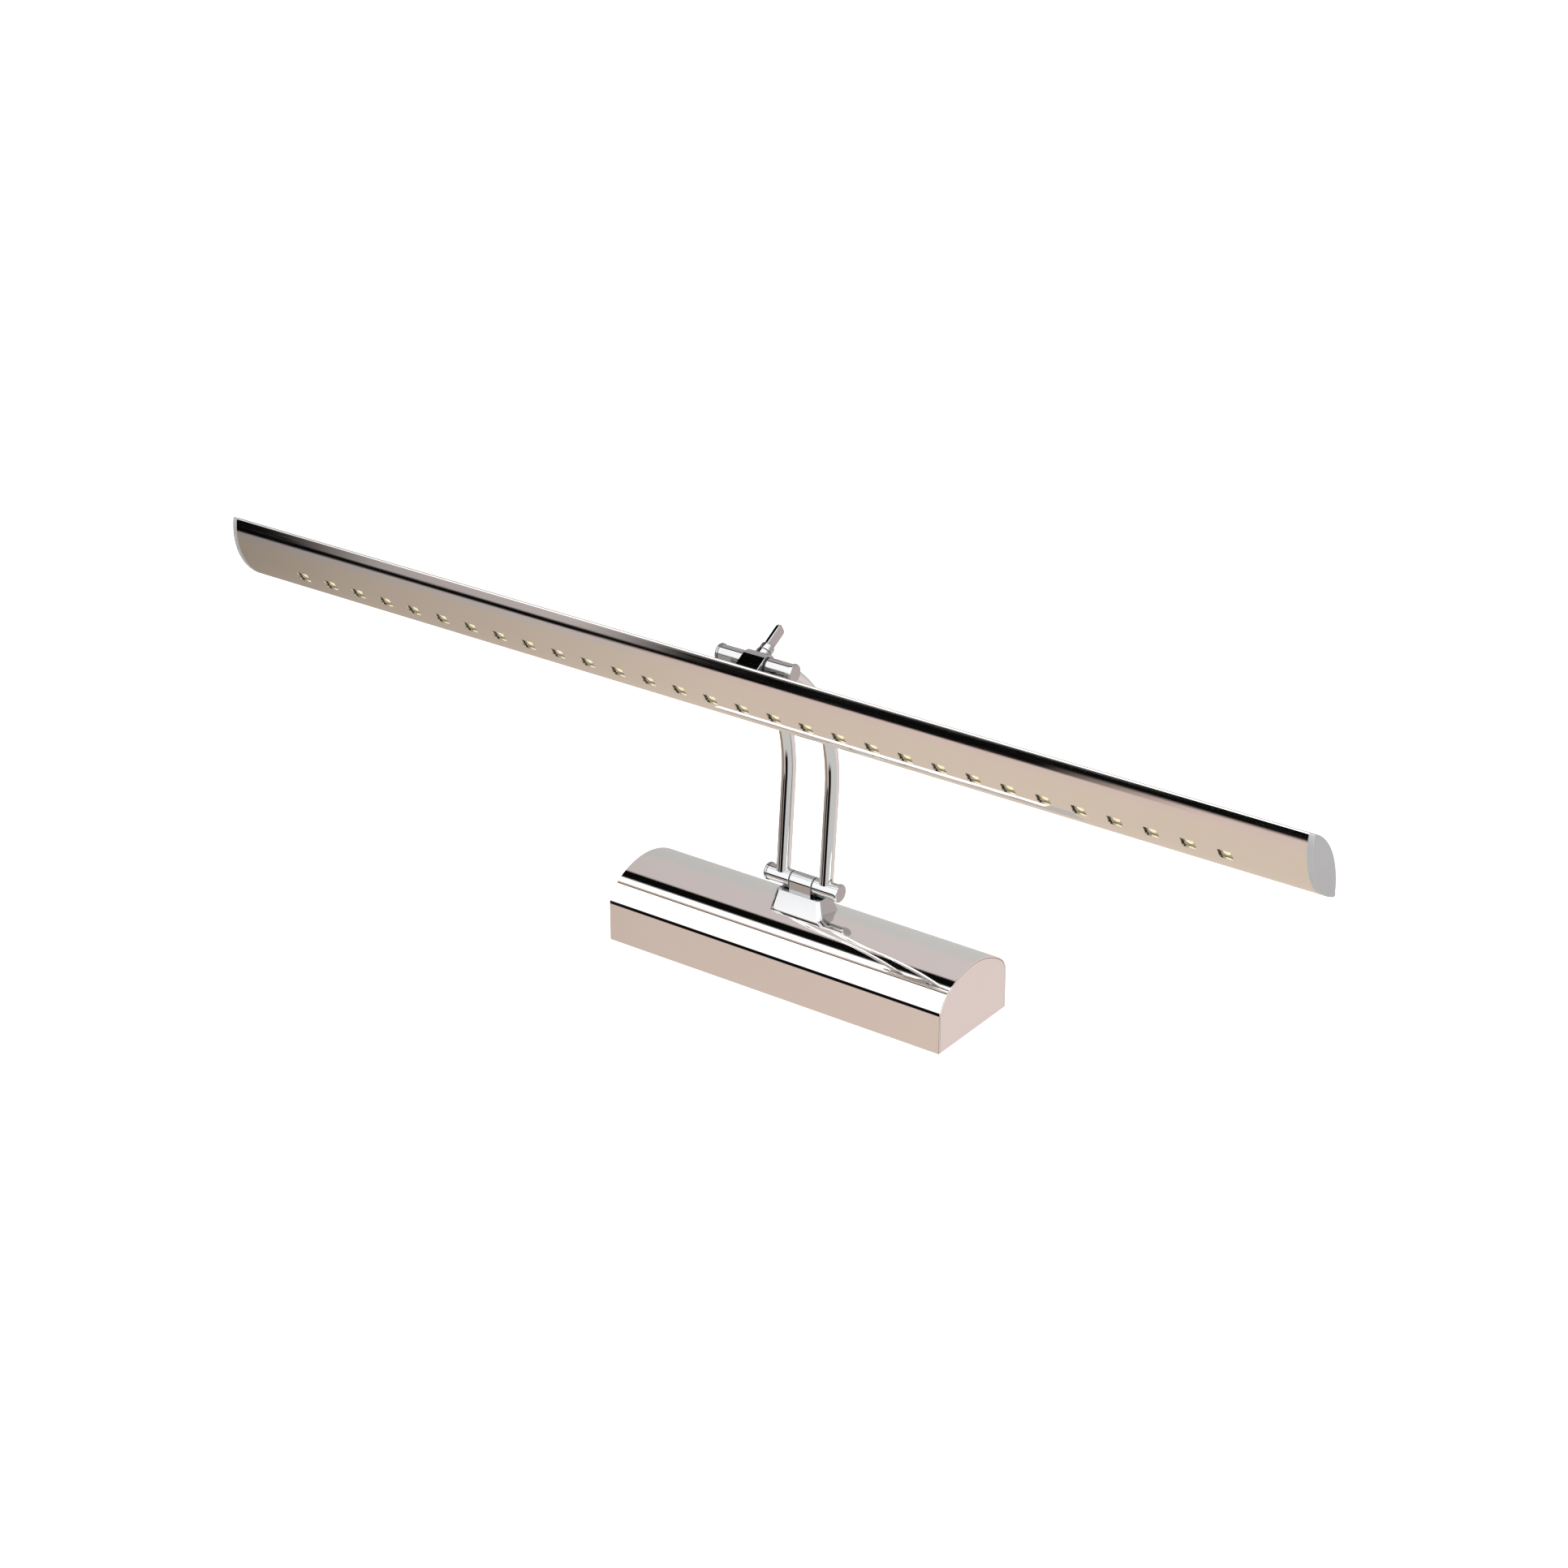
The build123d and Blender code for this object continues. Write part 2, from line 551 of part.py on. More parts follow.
def make_output_leads():
    """Two low-voltage leads from the driver up into the hinge foot."""
    driver_end = DRIVER_X + DRIVER_LENGTH / 2 - DRIVER_WALL
    exit_z = lead_exit_height()
    gap = LEAD_DIAMETER / 2 + SEAM / 2
    crown = BASE_HEIGHT - COVER_SHEET - FOOT_PLATE_THICKNESS
    leads = []
    for side in (-1, 1):
        y = side * gap
        points = [
            (driver_end - 1.0, y + DRIVER_EXIT_OFFSET, exit_z),
            (driver_end + 5.0, y + DRIVER_EXIT_OFFSET - 0.8, exit_z),
            (LEAD_HOLE_X - 5.0, y + 2.0, exit_z + 7.0),
            (LEAD_HOLE_X, y, crown - 7.0),
            (LEAD_HOLE_X, y, LOWER_AXIS_Z - PIN_RADIUS - SEAM),
        ]
        leads.append(lead(points, LEAD_DIAMETER))
    return solids(leads)


# ================================================================ hinge pieces
def barrel(side, bore_radius, tube_direction):
    """One arm barrel on the X axis, with the hole that lets the lead in from its tube."""
    ends = sorted((side * BARREL_INNER_END, side * BARREL_OUTER_END))
    shape = bar(BARREL_RADIUS, *ends)
    shape = fillet(shape.edges().filter_by(GeomType.CIRCLE), BARREL_EDGE_RADIUS)
    shape -= bar(bore_radius, ends[0] - 1, ends[1] + 1)
    return shape - lead_hole(side, tube_direction)


def lead_hole(side, direction):
    """Round hole from the hinge axis towards an arm tube."""
    start = Plane(origin=(side * TUBE_X, 0, 0), z_dir=direction)
    return start.location * post(LEAD_HOLE_RADIUS, 0, 2 * BARREL_RADIUS)


def hinge_pin(tube_direction, knuckle_direction):
    """Hollow pin: a hole towards each tube, and a half-round slot towards the knuckle's lead."""
    pin = bar(PIN_RADIUS, -BARREL_OUTER_END, BARREL_OUTER_END)
    pin -= bar(PIN_BORE_RADIUS, -BARREL_OUTER_END - 1, BARREL_OUTER_END + 1)
    for side in (-1, 1):
        pin -= lead_hole(side, tube_direction)
    slot = block(2 * LEAD_HOLE_RADIUS, 3 * PIN_RADIUS, 0, 2 * PIN_RADIUS)
    facing = Plane(origin=(LEAD_HOLE_X, 0, 0), x_dir=(1, 0, 0), z_dir=knuckle_direction)
    return pin - facing.location * slot


def end_caps():
    """Domed caps whose spigots plug the hollow pin's two ends."""
    caps = []
    for side in (-1, 1):
        outer_end = BARREL_OUTER_END + END_CAP_THICKNESS
        disc = bar(END_CAP_RADIUS, BARREL_OUTER_END, outer_end)
        disc = fillet(disc.edges().group_by(Axis.X)[-1], END_CAP_THICKNESS * 0.6)
        spigot = bar(PIN_BORE_RADIUS - SEAM / 2, BARREL_OUTER_END - END_CAP_SPIGOT, BARREL_OUTER_END)
        cap = disc + spigot
        caps.append(cap if side > 0 else Rot(0, 0, 180) * cap)
    return caps


def washers():
    """Friction washers between the knuckle and the two barrels."""
    start = KNUCKLE_HALF_WIDTH + END_PLAY
    ring = bar(WASHER_RADIUS, start, start + WASHER_THICKNESS)
    ring -= bar(PIN_RADIUS + RUN_CLEARANCE, start - 1, start + WASHER_THICKNESS + 1)
    return [ring, Rot(0, 0, 180) * ring]


LOWER = Pos(0, 0, LOWER_AXIS_Z)
UPPER = Pos(0, *UPPER_AXIS)
LOWER_TUBE_DIRECTION = (0, sin(LEAN), cos(LEAN))
UPPER_TUBE_DIRECTION = (0, sin(TURN_END), -cos(TURN_END))
HEAD_DIRECTION = (0, -cos(TILT), -sin(TILT))
FIXED_BORE = PIN_RADIUS + THREAD_CLEARANCE
RUNNING_BORE = PIN_RADIUS + RUN_CLEARANCE


def make_hinge_foot():
    """Tapered saddle on the crown that ends in the lower hinge's middle knuckle."""
    bottom = BASE_HEIGHT - FOOT_SKIRT
    shoulder = LOWER_AXIS_Z - BARREL_RADIUS - SWING_GAP
    outline = RectangleRounded(FOOT_LENGTH, FOOT_WIDTH, FOOT_CORNER_RADIUS)
    saddle = Pos(0, 0, bottom) * extrude(outline, shoulder - bottom, taper=FOOT_TAPER)
    knuckle = LOWER * bar(BARREL_RADIUS, -KNUCKLE_HALF_WIDTH, KNUCKLE_HALF_WIDTH)
    web = block(2 * KNUCKLE_HALF_WIDTH, 2 * BARREL_RADIUS, shoulder - 1, LOWER_AXIS_Z)
    foot = saddle + web + knuckle - crown_cylinder(0)
    foot -= LOWER * bar(RUNNING_BORE, -KNUCKLE_HALF_WIDTH - 1, KNUCKLE_HALF_WIDTH + 1)
    tapped = post(SCREW_RADIUS + THREAD_CLEARANCE, bottom, BASE_HEIGHT + FOOT_SCREW_DEPTH + SEAM)
    foot -= at_foot_screws(tapped)
    foot -= Pos(LEAD_HOLE_X, 0, 0) * post(LEAD_HOLE_RADIUS, bottom, LOWER_AXIS_Z)
    return foot


def make_foot_plate():
    """Curved stiffening plate that the foot's screws pull up under the crown."""
    outer = crown_cylinder(COVER_SHEET)
    inner = crown_cylinder(COVER_SHEET + FOOT_PLATE_THICKNESS)
    patch = block(FOOT_PLATE_LENGTH, FOOT_PLATE_WIDTH, BASE_WALL_HEIGHT, BASE_HEIGHT)
    plate = patch & (outer - inner)
    plate -= at_foot_screws(post(SCREW_RADIUS + HOLE_CLEARANCE, BASE_WALL_HEIGHT, BASE_HEIGHT))
    return plate - Pos(LEAD_HOLE_X, 0, 0) * post(LEAD_HOLE_RADIUS, BASE_WALL_HEIGHT, BASE_HEIGHT)


def foot_screw_seat():
    """Height under the curved plate where a flat screw head first touches it."""
    inside = crown_radius() - COVER_SHEET - FOOT_PLATE_THICKNESS
    return BASE_HEIGHT - crown_radius() + sqrt(inside**2 - SCREW_HEAD_RADIUS**2)


def make_foot_screws():
    length = BASE_HEIGHT + FOOT_SCREW_DEPTH - foot_screw_seat()
    upside_down = Rot(180, 0, 0) * standard_screw(length)
    return solids(at_foot_screws(Pos(0, 0, foot_screw_seat()) * upside_down))


def make_arm_tube(side):
    """Arm tube: a straight run and a bend, coped to fit the two barrels."""
    outer = swept_arm(side, ARM_TUBE_RADIUS, 0)
    inner = swept_arm(side, ARM_TUBE_RADIUS - ARM_TUBE_WALL, 0)
    weld = bar(BARREL_RADIUS + SEAM / 2, -BARREL_OUTER_END, BARREL_OUTER_END)
    return outer - inner - LOWER * weld - UPPER * weld


def swept_arm(side, radius, trim):
    """Round bar along the arm's middle line, trimmed by an equal length at both ends."""
    x = side * TUBE_X
    trim_angle = trim / ARM_BEND_RADIUS
    start = Vector(x, trim * sin(LEAN), LOWER_AXIS_Z + trim * cos(LEAN))
    bend_start = Vector(x, *BEND_START)
    middle = Vector(x, *on_bend((TURN_END - trim_angle - LEAN) / 2))
    end = Vector(x, *on_bend(TURN_END - trim_angle))
    path = Wire([Line(start, bend_start).edge(), ThreePointArc(bend_start, middle, end).edge()])
    section = Plane(origin=start, z_dir=LOWER_TUBE_DIRECTION) * Circle(radius)
    return sweep(section, path=path)


def make_arm_leads():
    """One low-voltage lead in each arm tube."""
    return solids([swept_arm(side, LEAD_DIAMETER / 2, PIN_RADIUS) for side in (-1, 1)])


# ================================================================ head section
def lens(inset):
    """Face of the oval section with sharp corners, drawn inset inside its outer skin."""
    half_chord = HEAD_CHORD / 2
    front = (half_chord**2 + HEAD_FRONT_BULGE**2) / (2 * HEAD_FRONT_BULGE)
    back = (half_chord**2 + HEAD_BACK_BULGE**2) / (2 * HEAD_BACK_BULGE)
    front_centre = front - HEAD_FRONT_BULGE
    back_centre = HEAD_BACK_BULGE - back
    front -= inset
    back -= inset
    corner_z = (back**2 - front**2 + front_centre**2 - back_centre**2) / (2 * (front_centre - back_centre))
    corner_y = sqrt(front**2 - (corner_z - front_centre) ** 2)
    lines = [
        ThreePointArc((-corner_y, corner_z), (0, front_centre - front), (corner_y, corner_z)),
        ThreePointArc((corner_y, corner_z), (0, back_centre + back), (-corner_y, corner_z)),
    ]
    return make_face(lines)


def head_bar(section, start, end):
    """Section of the head, drawn about the oval's middle, as a bar along X."""
    placed = Pos(start, 0, 0) * (Plane.YZ * Pos(-HEAD_RAISE, CHORD_Z) * section)
    return extrude(placed, end - start, dir=(1, 0, 0))


def outer_section():
    return offset(lens(HEAD_EDGE_RADIUS), HEAD_EDGE_RADIUS)


def back_height(distance, inset):
    """Head-frame Z of the back skin at a distance along the chord from the oval's middle."""
    half_chord = HEAD_CHORD / 2
    back = (half_chord**2 + HEAD_BACK_BULGE**2) / (2 * HEAD_BACK_BULGE)
    return CHORD_Z + HEAD_BACK_BULGE - back + sqrt((back - inset) ** 2 - distance**2)


def at_leds(shape):
    middle = (LED_COUNT - 1) / 2
    return [Pos((number - middle) * LED_PITCH, -HEAD_RAISE, 0) * shape for number in range(LED_COUNT)]


def at_knuckle_screws(shape):
    return [Pos(side * KNUCKLE_SCREW_SPACING / 2, 0, 0) * shape for side in (-1, 1)]


def at_board_screws(shape):
    return [Pos(place * LED_PITCH, -HEAD_RAISE, 0) * shape for place in BOARD_SCREW_PLACES]


def chord_half(front_side):
    """Half-space block on one side of the chord plane."""
    depth = 2 * HEAD_CHORD
    bottom, top = (CHORD_Z - depth, CHORD_Z) if front_side else (CHORD_Z, CHORD_Z + depth)
    return block(HEAD_LENGTH, 2 * HEAD_CHORD, bottom, top)


def head_skin():
    return head_bar(outer_section() - lens(HEAD_WALL), -BODY_HALF_LENGTH, BODY_HALF_LENGTH)


# ================================================================ head pieces
def make_head_face_plate():
    plate = head_skin() & chord_half(True)
    outline = RectangleRounded(WINDOW_LENGTH, WINDOW_WIDTH, WINDOW_CORNER_RADIUS)
    window = Pos(0, 0, CHORD_Z - 2 * HEAD_FRONT_BULGE) * extrude(outline, 2 * HEAD_FRONT_BULGE)
    return HEAD_FRAME.location * (plate - at_leds(window))


def make_head_back_shell():
    shell = head_skin() & chord_half(False)
    shell -= at_knuckle_screws(post(SCREW_RADIUS + HOLE_CLEARANCE, CHORD_Z, 0))
    shell -= Pos(LEAD_HOLE_X, 0, 0) * post(LEAD_HOLE_RADIUS, CHORD_Z, 0)
    return HEAD_FRAME.location * shell


def make_board_rail():
    """Channel that carries the LED board; its legs stand on the inside of the back shell."""
    channel = Pos(0, -HEAD_RAISE, 0) * block(HEAD_LENGTH, RAIL_WIDTH, BOARD_BACK_Z, 0)
    inside = block(HEAD_LENGTH, RAIL_WIDTH - 2 * RAIL_WALL, BOARD_BACK_Z + RAIL_WALL, 1)
    channel -= Pos(0, -HEAD_RAISE, 0) * inside
    half = BODY_HALF_LENGTH - END_PLUG - 3 * SEAM
    rail = channel & head_bar(lens(HEAD_WALL + SEAM), -half, half)
    rail -= at_board_screws(post(SMALL_SCREW_RADIUS + THREAD_CLEARANCE, CHORD_Z - HEAD_CHORD, 0))
    x, y = head_lead_landing()
    slot = block(3 * LEAD_DIAMETER, 4 * LEAD_DIAMETER, CHORD_Z - HEAD_CHORD, BOARD_BACK_Z + 2 * RAIL_WALL)
    return HEAD_FRAME.location * (rail - Pos(x, y, 0) * slot)


def head_lead_landing():
    """Where the leads reach the LED board: midway between two LEDs, along the board's middle."""
    return 2 * LED_PITCH, -HEAD_RAISE


def make_led_board():
    board = block(LED_BOARD_LENGTH, LED_BOARD_WIDTH, LED_BACK_Z, BOARD_BACK_Z)
    board = Pos(0, -HEAD_RAISE, 0) * board
    hole = post(SMALL_SCREW_RADIUS + HOLE_CLEARANCE, LED_BACK_Z - 1, BOARD_BACK_Z + 1)
    return HEAD_FRAME.location * (board - at_board_screws(hole))


def make_led_chips():
    chip = block(LED_SIZE, LED_SIZE, LED_FRONT_Z, LED_BACK_Z)
    chip -= post(LED_WELL_RADIUS, LED_FRONT_Z - 1, LED_FRONT_Z + LED_WELL_DEPTH)
    return solids([HEAD_FRAME.location * place for place in at_leds(chip)])


def make_board_screws():
    length = LED_BOARD_THICKNESS + RAIL_WALL + BOARD_SCREW_TIP
    upside_down = Pos(0, 0, LED_BACK_Z) * Rot(180, 0, 0) * small_screw(length)
    return solids([HEAD_FRAME.location * place for place in at_board_screws(upside_down)])


def make_head_end_cap(side):
    """End cap: a flange that carries on the oval, and a hollow plug inside the shells."""
    flange = head_bar(outer_section(), BODY_HALF_LENGTH, HEAD_LENGTH / 2)
    flange = chamfer(flange.edges().group_by(Axis.X)[-1], END_FLANGE_CHAMFER)
    ring = lens(HEAD_WALL + SEAM) - lens(HEAD_WALL + SEAM + END_PLUG_WALL)
    plug = head_bar(ring, BODY_HALF_LENGTH - END_PLUG, BODY_HALF_LENGTH)
    cap = flange + plug
    if side < 0:
        cap = mirror(cap, Plane.YZ)
    return HEAD_FRAME.location * cap


def make_head_knuckle():
    """Pad on the head's back, the knuckle on the upper hinge and the boss for the thumb screw."""
    pad_top = back_height(0, 0) + KNUCKLE_PAD_THICKNESS
    pad = block(KNUCKLE_PAD_LENGTH, KNUCKLE_PAD_WIDTH, CHORD_Z, pad_top)
    pad = fillet(pad.edges().filter_by(Axis.Z), KNUCKLE_PAD_CORNER_RADIUS)
    neck = block(2 * KNUCKLE_HALF_WIDTH, 2 * HEAD_KNUCKLE_RADIUS, CHORD_Z, 0)
    eye = bar(HEAD_KNUCKLE_RADIUS, -KNUCKLE_HALF_WIDTH, KNUCKLE_HALF_WIDTH)
    boss = post(THUMB_BOSS_RADIUS, 0, THUMB_BOSS_HEIGHT)
    knuckle = pad + neck + eye + boss
    knuckle -= head_bar(outer_section(), -HEAD_LENGTH / 2, HEAD_LENGTH / 2)
    knuckle -= bar(RUNNING_BORE, -KNUCKLE_HALF_WIDTH - 1, KNUCKLE_HALF_WIDTH + 1)
    knuckle -= post(THUMB_SHANK_RADIUS + RUN_CLEARANCE, 0, THUMB_BOSS_HEIGHT + 1)
    knuckle -= at_knuckle_screws(post(SCREW_RADIUS + THREAD_CLEARANCE, CHORD_Z, pad_top + 1))
    knuckle -= Pos(LEAD_HOLE_X, 0, 0) * post(LEAD_HOLE_RADIUS, CHORD_Z, 0)
    return HEAD_FRAME.location * knuckle


def make_knuckle_screws():
    seat = back_height(HEAD_RAISE + SCREW_HEAD_RADIUS, HEAD_WALL)
    length = back_height(0, 0) + KNUCKLE_PAD_THICKNESS - seat
    upside_down = Pos(0, 0, seat) * Rot(180, 0, 0) * standard_screw(length)
    return solids([HEAD_FRAME.location * place for place in at_knuckle_screws(upside_down)])


def make_head_leads():
    """Two leads from the upper hinge through the knuckle and the rail to the LED board."""
    gap = LEAD_DIAMETER / 2 + SEAM / 2
    landing_x, landing_y = head_lead_landing()
    cavity = back_height(0, HEAD_WALL) - 3.0
    leads = []
    for side in (-1, 1):
        y = side * gap
        points = [
            (LEAD_HOLE_X, y, -PIN_RADIUS - SEAM),
            (LEAD_HOLE_X, y, cavity + 2.0),
            (LEAD_HOLE_X + 1.6, y, cavity - 0.8),
            (LEAD_HOLE_X + 6.5, y, cavity - 1.8),
            (landing_x - 6.0, landing_y + side * 1.2, cavity - 1.6),
            (landing_x, landing_y + side * 1.2, BOARD_BACK_Z + RAIL_WALL + 1.0),
            (landing_x, landing_y + side * 1.2, BOARD_BACK_Z + SEAM),
        ]
        leads.append(HEAD_FRAME.location * lead(points, LEAD_DIAMETER))
    return solids(leads)


def make_thumb_screw():
    """Wing screw in the knuckle's boss; its tip bears on the hinge pin and holds the head's angle."""
    collar_bottom = THUMB_BOSS_HEIGHT + THUMB_GAP
    collar_top = collar_bottom + THUMB_COLLAR_HEIGHT
    shank = post(THUMB_SHANK_RADIUS, PIN_RADIUS + THUMB_TIP_GAP, collar_bottom)
    collar = post(THUMB_COLLAR_RADIUS, collar_bottom, collar_top)
    collar = chamfer(collar.edges().group_by(Axis.Z)[-1], THUMB_COLLAR_CHAMFER)
    outline = RectangleRounded(THUMB_WING_WIDTH, 2 * THUMB_WING_LENGTH, THUMB_WING_CORNER_RADIUS)
    slab = extrude(outline, THUMB_WING_THICKNESS / 2, both=True)
    wing = Pos(0, 0, collar_top) * Rot(0, 0, 90) * Rot(90, 0, 0) * slab
    wing &= block(THUMB_WING_WIDTH, 2 * THUMB_WING_WIDTH, collar_bottom, collar_top + THUMB_WING_LENGTH)
    return HEAD_FRAME.location * (shank + collar + wing)


# ================================================================ the whole lamp
def build():
    """Every node of the lamp by name."""
    nodes = {
        "wall_plate": make_wall_plate(),
        "base_cover": make_base_cover(),
        "base_end_cap_left": make_base_end_cap(-1),
        "base_end_cap_right": make_base_end_cap(1),
        "cover_screws": make_cover_screws(),
        "cable_grommet": make_cable_grommet(),
        "earth_stud": make_earth_stud(),
        "earth_nut": make_earth_nut(),
        "driver_tray": make_driver_tray(),
        "driver_lid": make_driver_lid(),
        "driver_board": make_driver_board(),
        "driver_transformer": make_driver_transformer(),
        "driver_capacitors": make_driver_capacitors(),
        "driver_screws": make_driver_screws(),
        "terminal_block": make_terminal_block(),
        "terminal_screws": make_terminal_screws(),
        "terminal_mounting_screw": make_terminal_mounting_screw(),
        "supply_leads": make_supply_leads(),
        "earth_lead": make_earth_lead(),
        "output_leads": make_output_leads(),
        "hinge_foot": make_hinge_foot(),
        "foot_plate": make_foot_plate(),
        "foot_screws": make_foot_screws(),
        "lower_hinge_pin": LOWER * hinge_pin(LOWER_TUBE_DIRECTION, (0, 0, -1)),
        "lower_end_caps": solids([LOWER * cap for cap in end_caps()]),
        "lower_washers": solids([LOWER * washer for washer in washers()]),
        "upper_hinge_pin": UPPER * hinge_pin(UPPER_TUBE_DIRECTION, HEAD_DIRECTION),
        "upper_end_caps": solids([UPPER * cap for cap in end_caps()]),
        "upper_washers": solids([UPPER * washer for washer in washers()]),
        "arm_leads": make_arm_leads(),
        "head_face_plate": make_head_face_plate(),
        "head_back_shell": make_head_back_shell(),
        "board_rail": make_board_rail(),
        "led_board": make_led_board(),
        "led_chips": make_led_chips(),
        "board_screws": make_board_screws(),
        "head_end_cap_left": make_head_end_cap(-1),
        "head_end_cap_right": make_head_end_cap(1),
        "head_knuckle": make_head_knuckle(),
        "knuckle_screws": make_knuckle_screws(),
        "head_leads": make_head_leads(),
        "thumb_screw": make_thumb_screw(),
    }
    for name, side in (("left", -1), ("right", 1)):
        nodes[f"lower_barrel_{name}"] = LOWER * barrel(side, FIXED_BORE, LOWER_TUBE_DIRECTION)
        nodes[f"upper_barrel_{name}"] = UPPER * barrel(side, FIXED_BORE, UPPER_TUBE_DIRECTION)
        nodes[f"arm_tube_{name}"] = make_arm_tube(side)
    return nodes


os.makedirs("parts", exist_ok=True)
for node, shape in build().items():
    export_step(shape, f"parts/{node}.step")
print("upper hinge axis", [round(value, 3) for value in UPPER_AXIS])
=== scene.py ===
# %% [markdown]
# # A polished picture light
# A long oval LED head hangs on a two-tube arm, and the arm is hinged on a polished base that is
# screwed to the wall. The wall is the plane Z = 0, and the head faces -Y and a little back to the
# wall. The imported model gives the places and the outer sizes, and each piece below fits its box.

# %% Load the frame
import json
import math

import bmesh
import bpy
from mathutils import Matrix, Vector


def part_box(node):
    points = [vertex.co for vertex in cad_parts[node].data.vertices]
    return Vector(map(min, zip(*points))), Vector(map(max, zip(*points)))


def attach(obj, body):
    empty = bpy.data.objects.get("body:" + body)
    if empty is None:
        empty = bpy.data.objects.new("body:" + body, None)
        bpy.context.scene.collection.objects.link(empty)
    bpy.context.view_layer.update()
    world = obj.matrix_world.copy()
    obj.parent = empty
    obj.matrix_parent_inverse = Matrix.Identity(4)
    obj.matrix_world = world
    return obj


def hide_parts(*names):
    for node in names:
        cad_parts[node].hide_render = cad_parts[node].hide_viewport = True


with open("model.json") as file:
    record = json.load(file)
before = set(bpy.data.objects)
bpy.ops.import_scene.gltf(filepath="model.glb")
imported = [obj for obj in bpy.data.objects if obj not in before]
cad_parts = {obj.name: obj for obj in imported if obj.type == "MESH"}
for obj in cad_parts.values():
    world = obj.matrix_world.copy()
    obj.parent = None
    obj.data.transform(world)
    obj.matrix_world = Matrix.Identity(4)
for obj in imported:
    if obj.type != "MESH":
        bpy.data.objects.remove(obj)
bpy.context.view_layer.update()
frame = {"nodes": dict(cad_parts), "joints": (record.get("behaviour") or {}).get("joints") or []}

# %% Directions and fixed places
MM = 0.001
ALONG = Vector((1, 0, 0))  # along the head, the base and both hinge pins
UP = Vector((0, 0, 1))

joints = {joint["name"]: joint for joint in frame["joints"]}
lower_axis = Vector(joints["arm_tilt"]["pos_m"])
upper_axis = Vector(joints["head_tilt"]["pos_m"])
head_back = Vector(joints["thumb_screw_turn"]["axis"]).normalized()
head_down = head_back.cross(ALONG)
head_frame = Matrix.Translation(upper_axis) @ Matrix((ALONG, head_down, head_back)).transposed().to_4x4()
print("hinges at", tuple(lower_axis), tuple(upper_axis))

# %% [markdown]
# ## Camera
# A long lens from a step back keeps the head nearly parallel-sided. The camera is aimed with a
# target point and two angles, which is easier to change than an Euler rotation.

# %% Camera
CAMERA_TARGET = Vector((0, -15.3, 98.5)) * MM
CAMERA_DISTANCE = 1.542
CAMERA_AZIMUTH = math.radians(35.9)
CAMERA_ELEVATION = math.radians(25.6)
LENS_LENGTH = 82.57  # mm
SENSOR_WIDTH = 36  # mm

lens = bpy.data.cameras.new("studio_camera")
lens.lens = LENS_LENGTH
lens.sensor_width = SENSOR_WIDTH
camera = bpy.data.objects.new("studio_camera", lens)
bpy.context.scene.collection.objects.link(camera)
towards_camera = Vector(
    (
        math.sin(CAMERA_AZIMUTH) * math.cos(CAMERA_ELEVATION),
        -math.cos(CAMERA_AZIMUTH) * math.cos(CAMERA_ELEVATION),
        math.sin(CAMERA_ELEVATION),
    )
)
camera.location = CAMERA_TARGET + towards_camera * CAMERA_DISTANCE
camera.rotation_euler = towards_camera.to_track_quat("Z", "Y").to_euler()
bpy.context.scene.camera = camera
print("camera at", [round(value, 3) for value in camera.location])

# %% [markdown]
# ## Studio room
# Mirror-bright metal shows nothing but the room round it, so the room matters more than the
# lamps. The head and the base are bars along X, so the room is drawn as long bands parallel to X,
# given by their angle about that axis: a white ceiling, in most parts a black flag each side of it
# that draws the crisp dark lines, and warm beige walls and ground. The bands change along X in a
# few parts, and the whole room falls off darker at the far left.

# %% Bands of the room
BLACK = (0.003, 0.003, 0.003)
WHITE = (1.9, 1.9, 1.9)
MAUVE = (0.66, 0.60, 0.59)
ROSE = (0.71, 0.575, 0.53)
BEIGE = (0.71, 0.60, 0.50)
GREY = (0.60, 0.60, 0.59)
PINK = (0.80, 0.68, 0.655)
CEILING = ((0, GREY), (25, GREY), (40, MAUVE), (78, MAUVE), (80, BLACK), (91, BLACK), (93, WHITE))
GROUND = ((225, BEIGE), (325, BEIGE), (345, GREY), (360, GREY))
# Degrees above the horizon behind the lamp, turning over the top. Each part of the room fades
# into the next between two values of the direction's X.
FAR_LEFT = (*CEILING, (183, WHITE), (184, BLACK), (206, BLACK), (209, MAUVE), *GROUND)
LEFT = (*CEILING, (183, WHITE), (185, MAUVE), (198, MAUVE), (200, BLACK), (206, BLACK), (208, MAUVE), *GROUND)
MIDDLE = (*CEILING, (185, WHITE), (189, BLACK), (204, BLACK), (206, ROSE), *GROUND)
NEAR_RIGHT = (*CEILING, (183, WHITE), (184, BLACK), (196, BLACK), (200, ROSE), *GROUND)
FRONT = (*CEILING, (188, WHITE), (193, BLACK), (213, BLACK), (219, GREY), (360, GREY))
RIGHT = (
    (0, GREY),
    (60, GREY),
    (93, WHITE),
    (187, WHITE),
    (192, GREY),
    (305, GREY),
    (315, PINK),
    (345, PINK),
    (360, GREY),
)
ROOM_PARTS = (
    (LEFT, -0.65, -0.63),
    (MIDDLE, -0.585, -0.56),
    (NEAR_RIGHT, -0.47, -0.43),
    (FRONT, -0.37, -0.30),
    (RIGHT, 0.22, 0.32),
)
SHADE = (  # how bright the room is, by the X of the direction: it falls off at the far left
    (-0.66, 0.44),
    (-0.63, 0.64),
    (-0.60, 0.74),
    (-0.55, 0.93),
    (-0.48, 1.0),
)

world = bpy.data.worlds.new("studio_room")
world.use_nodes = True
bpy.context.scene.world = world
room = world.node_tree
room.nodes.clear()


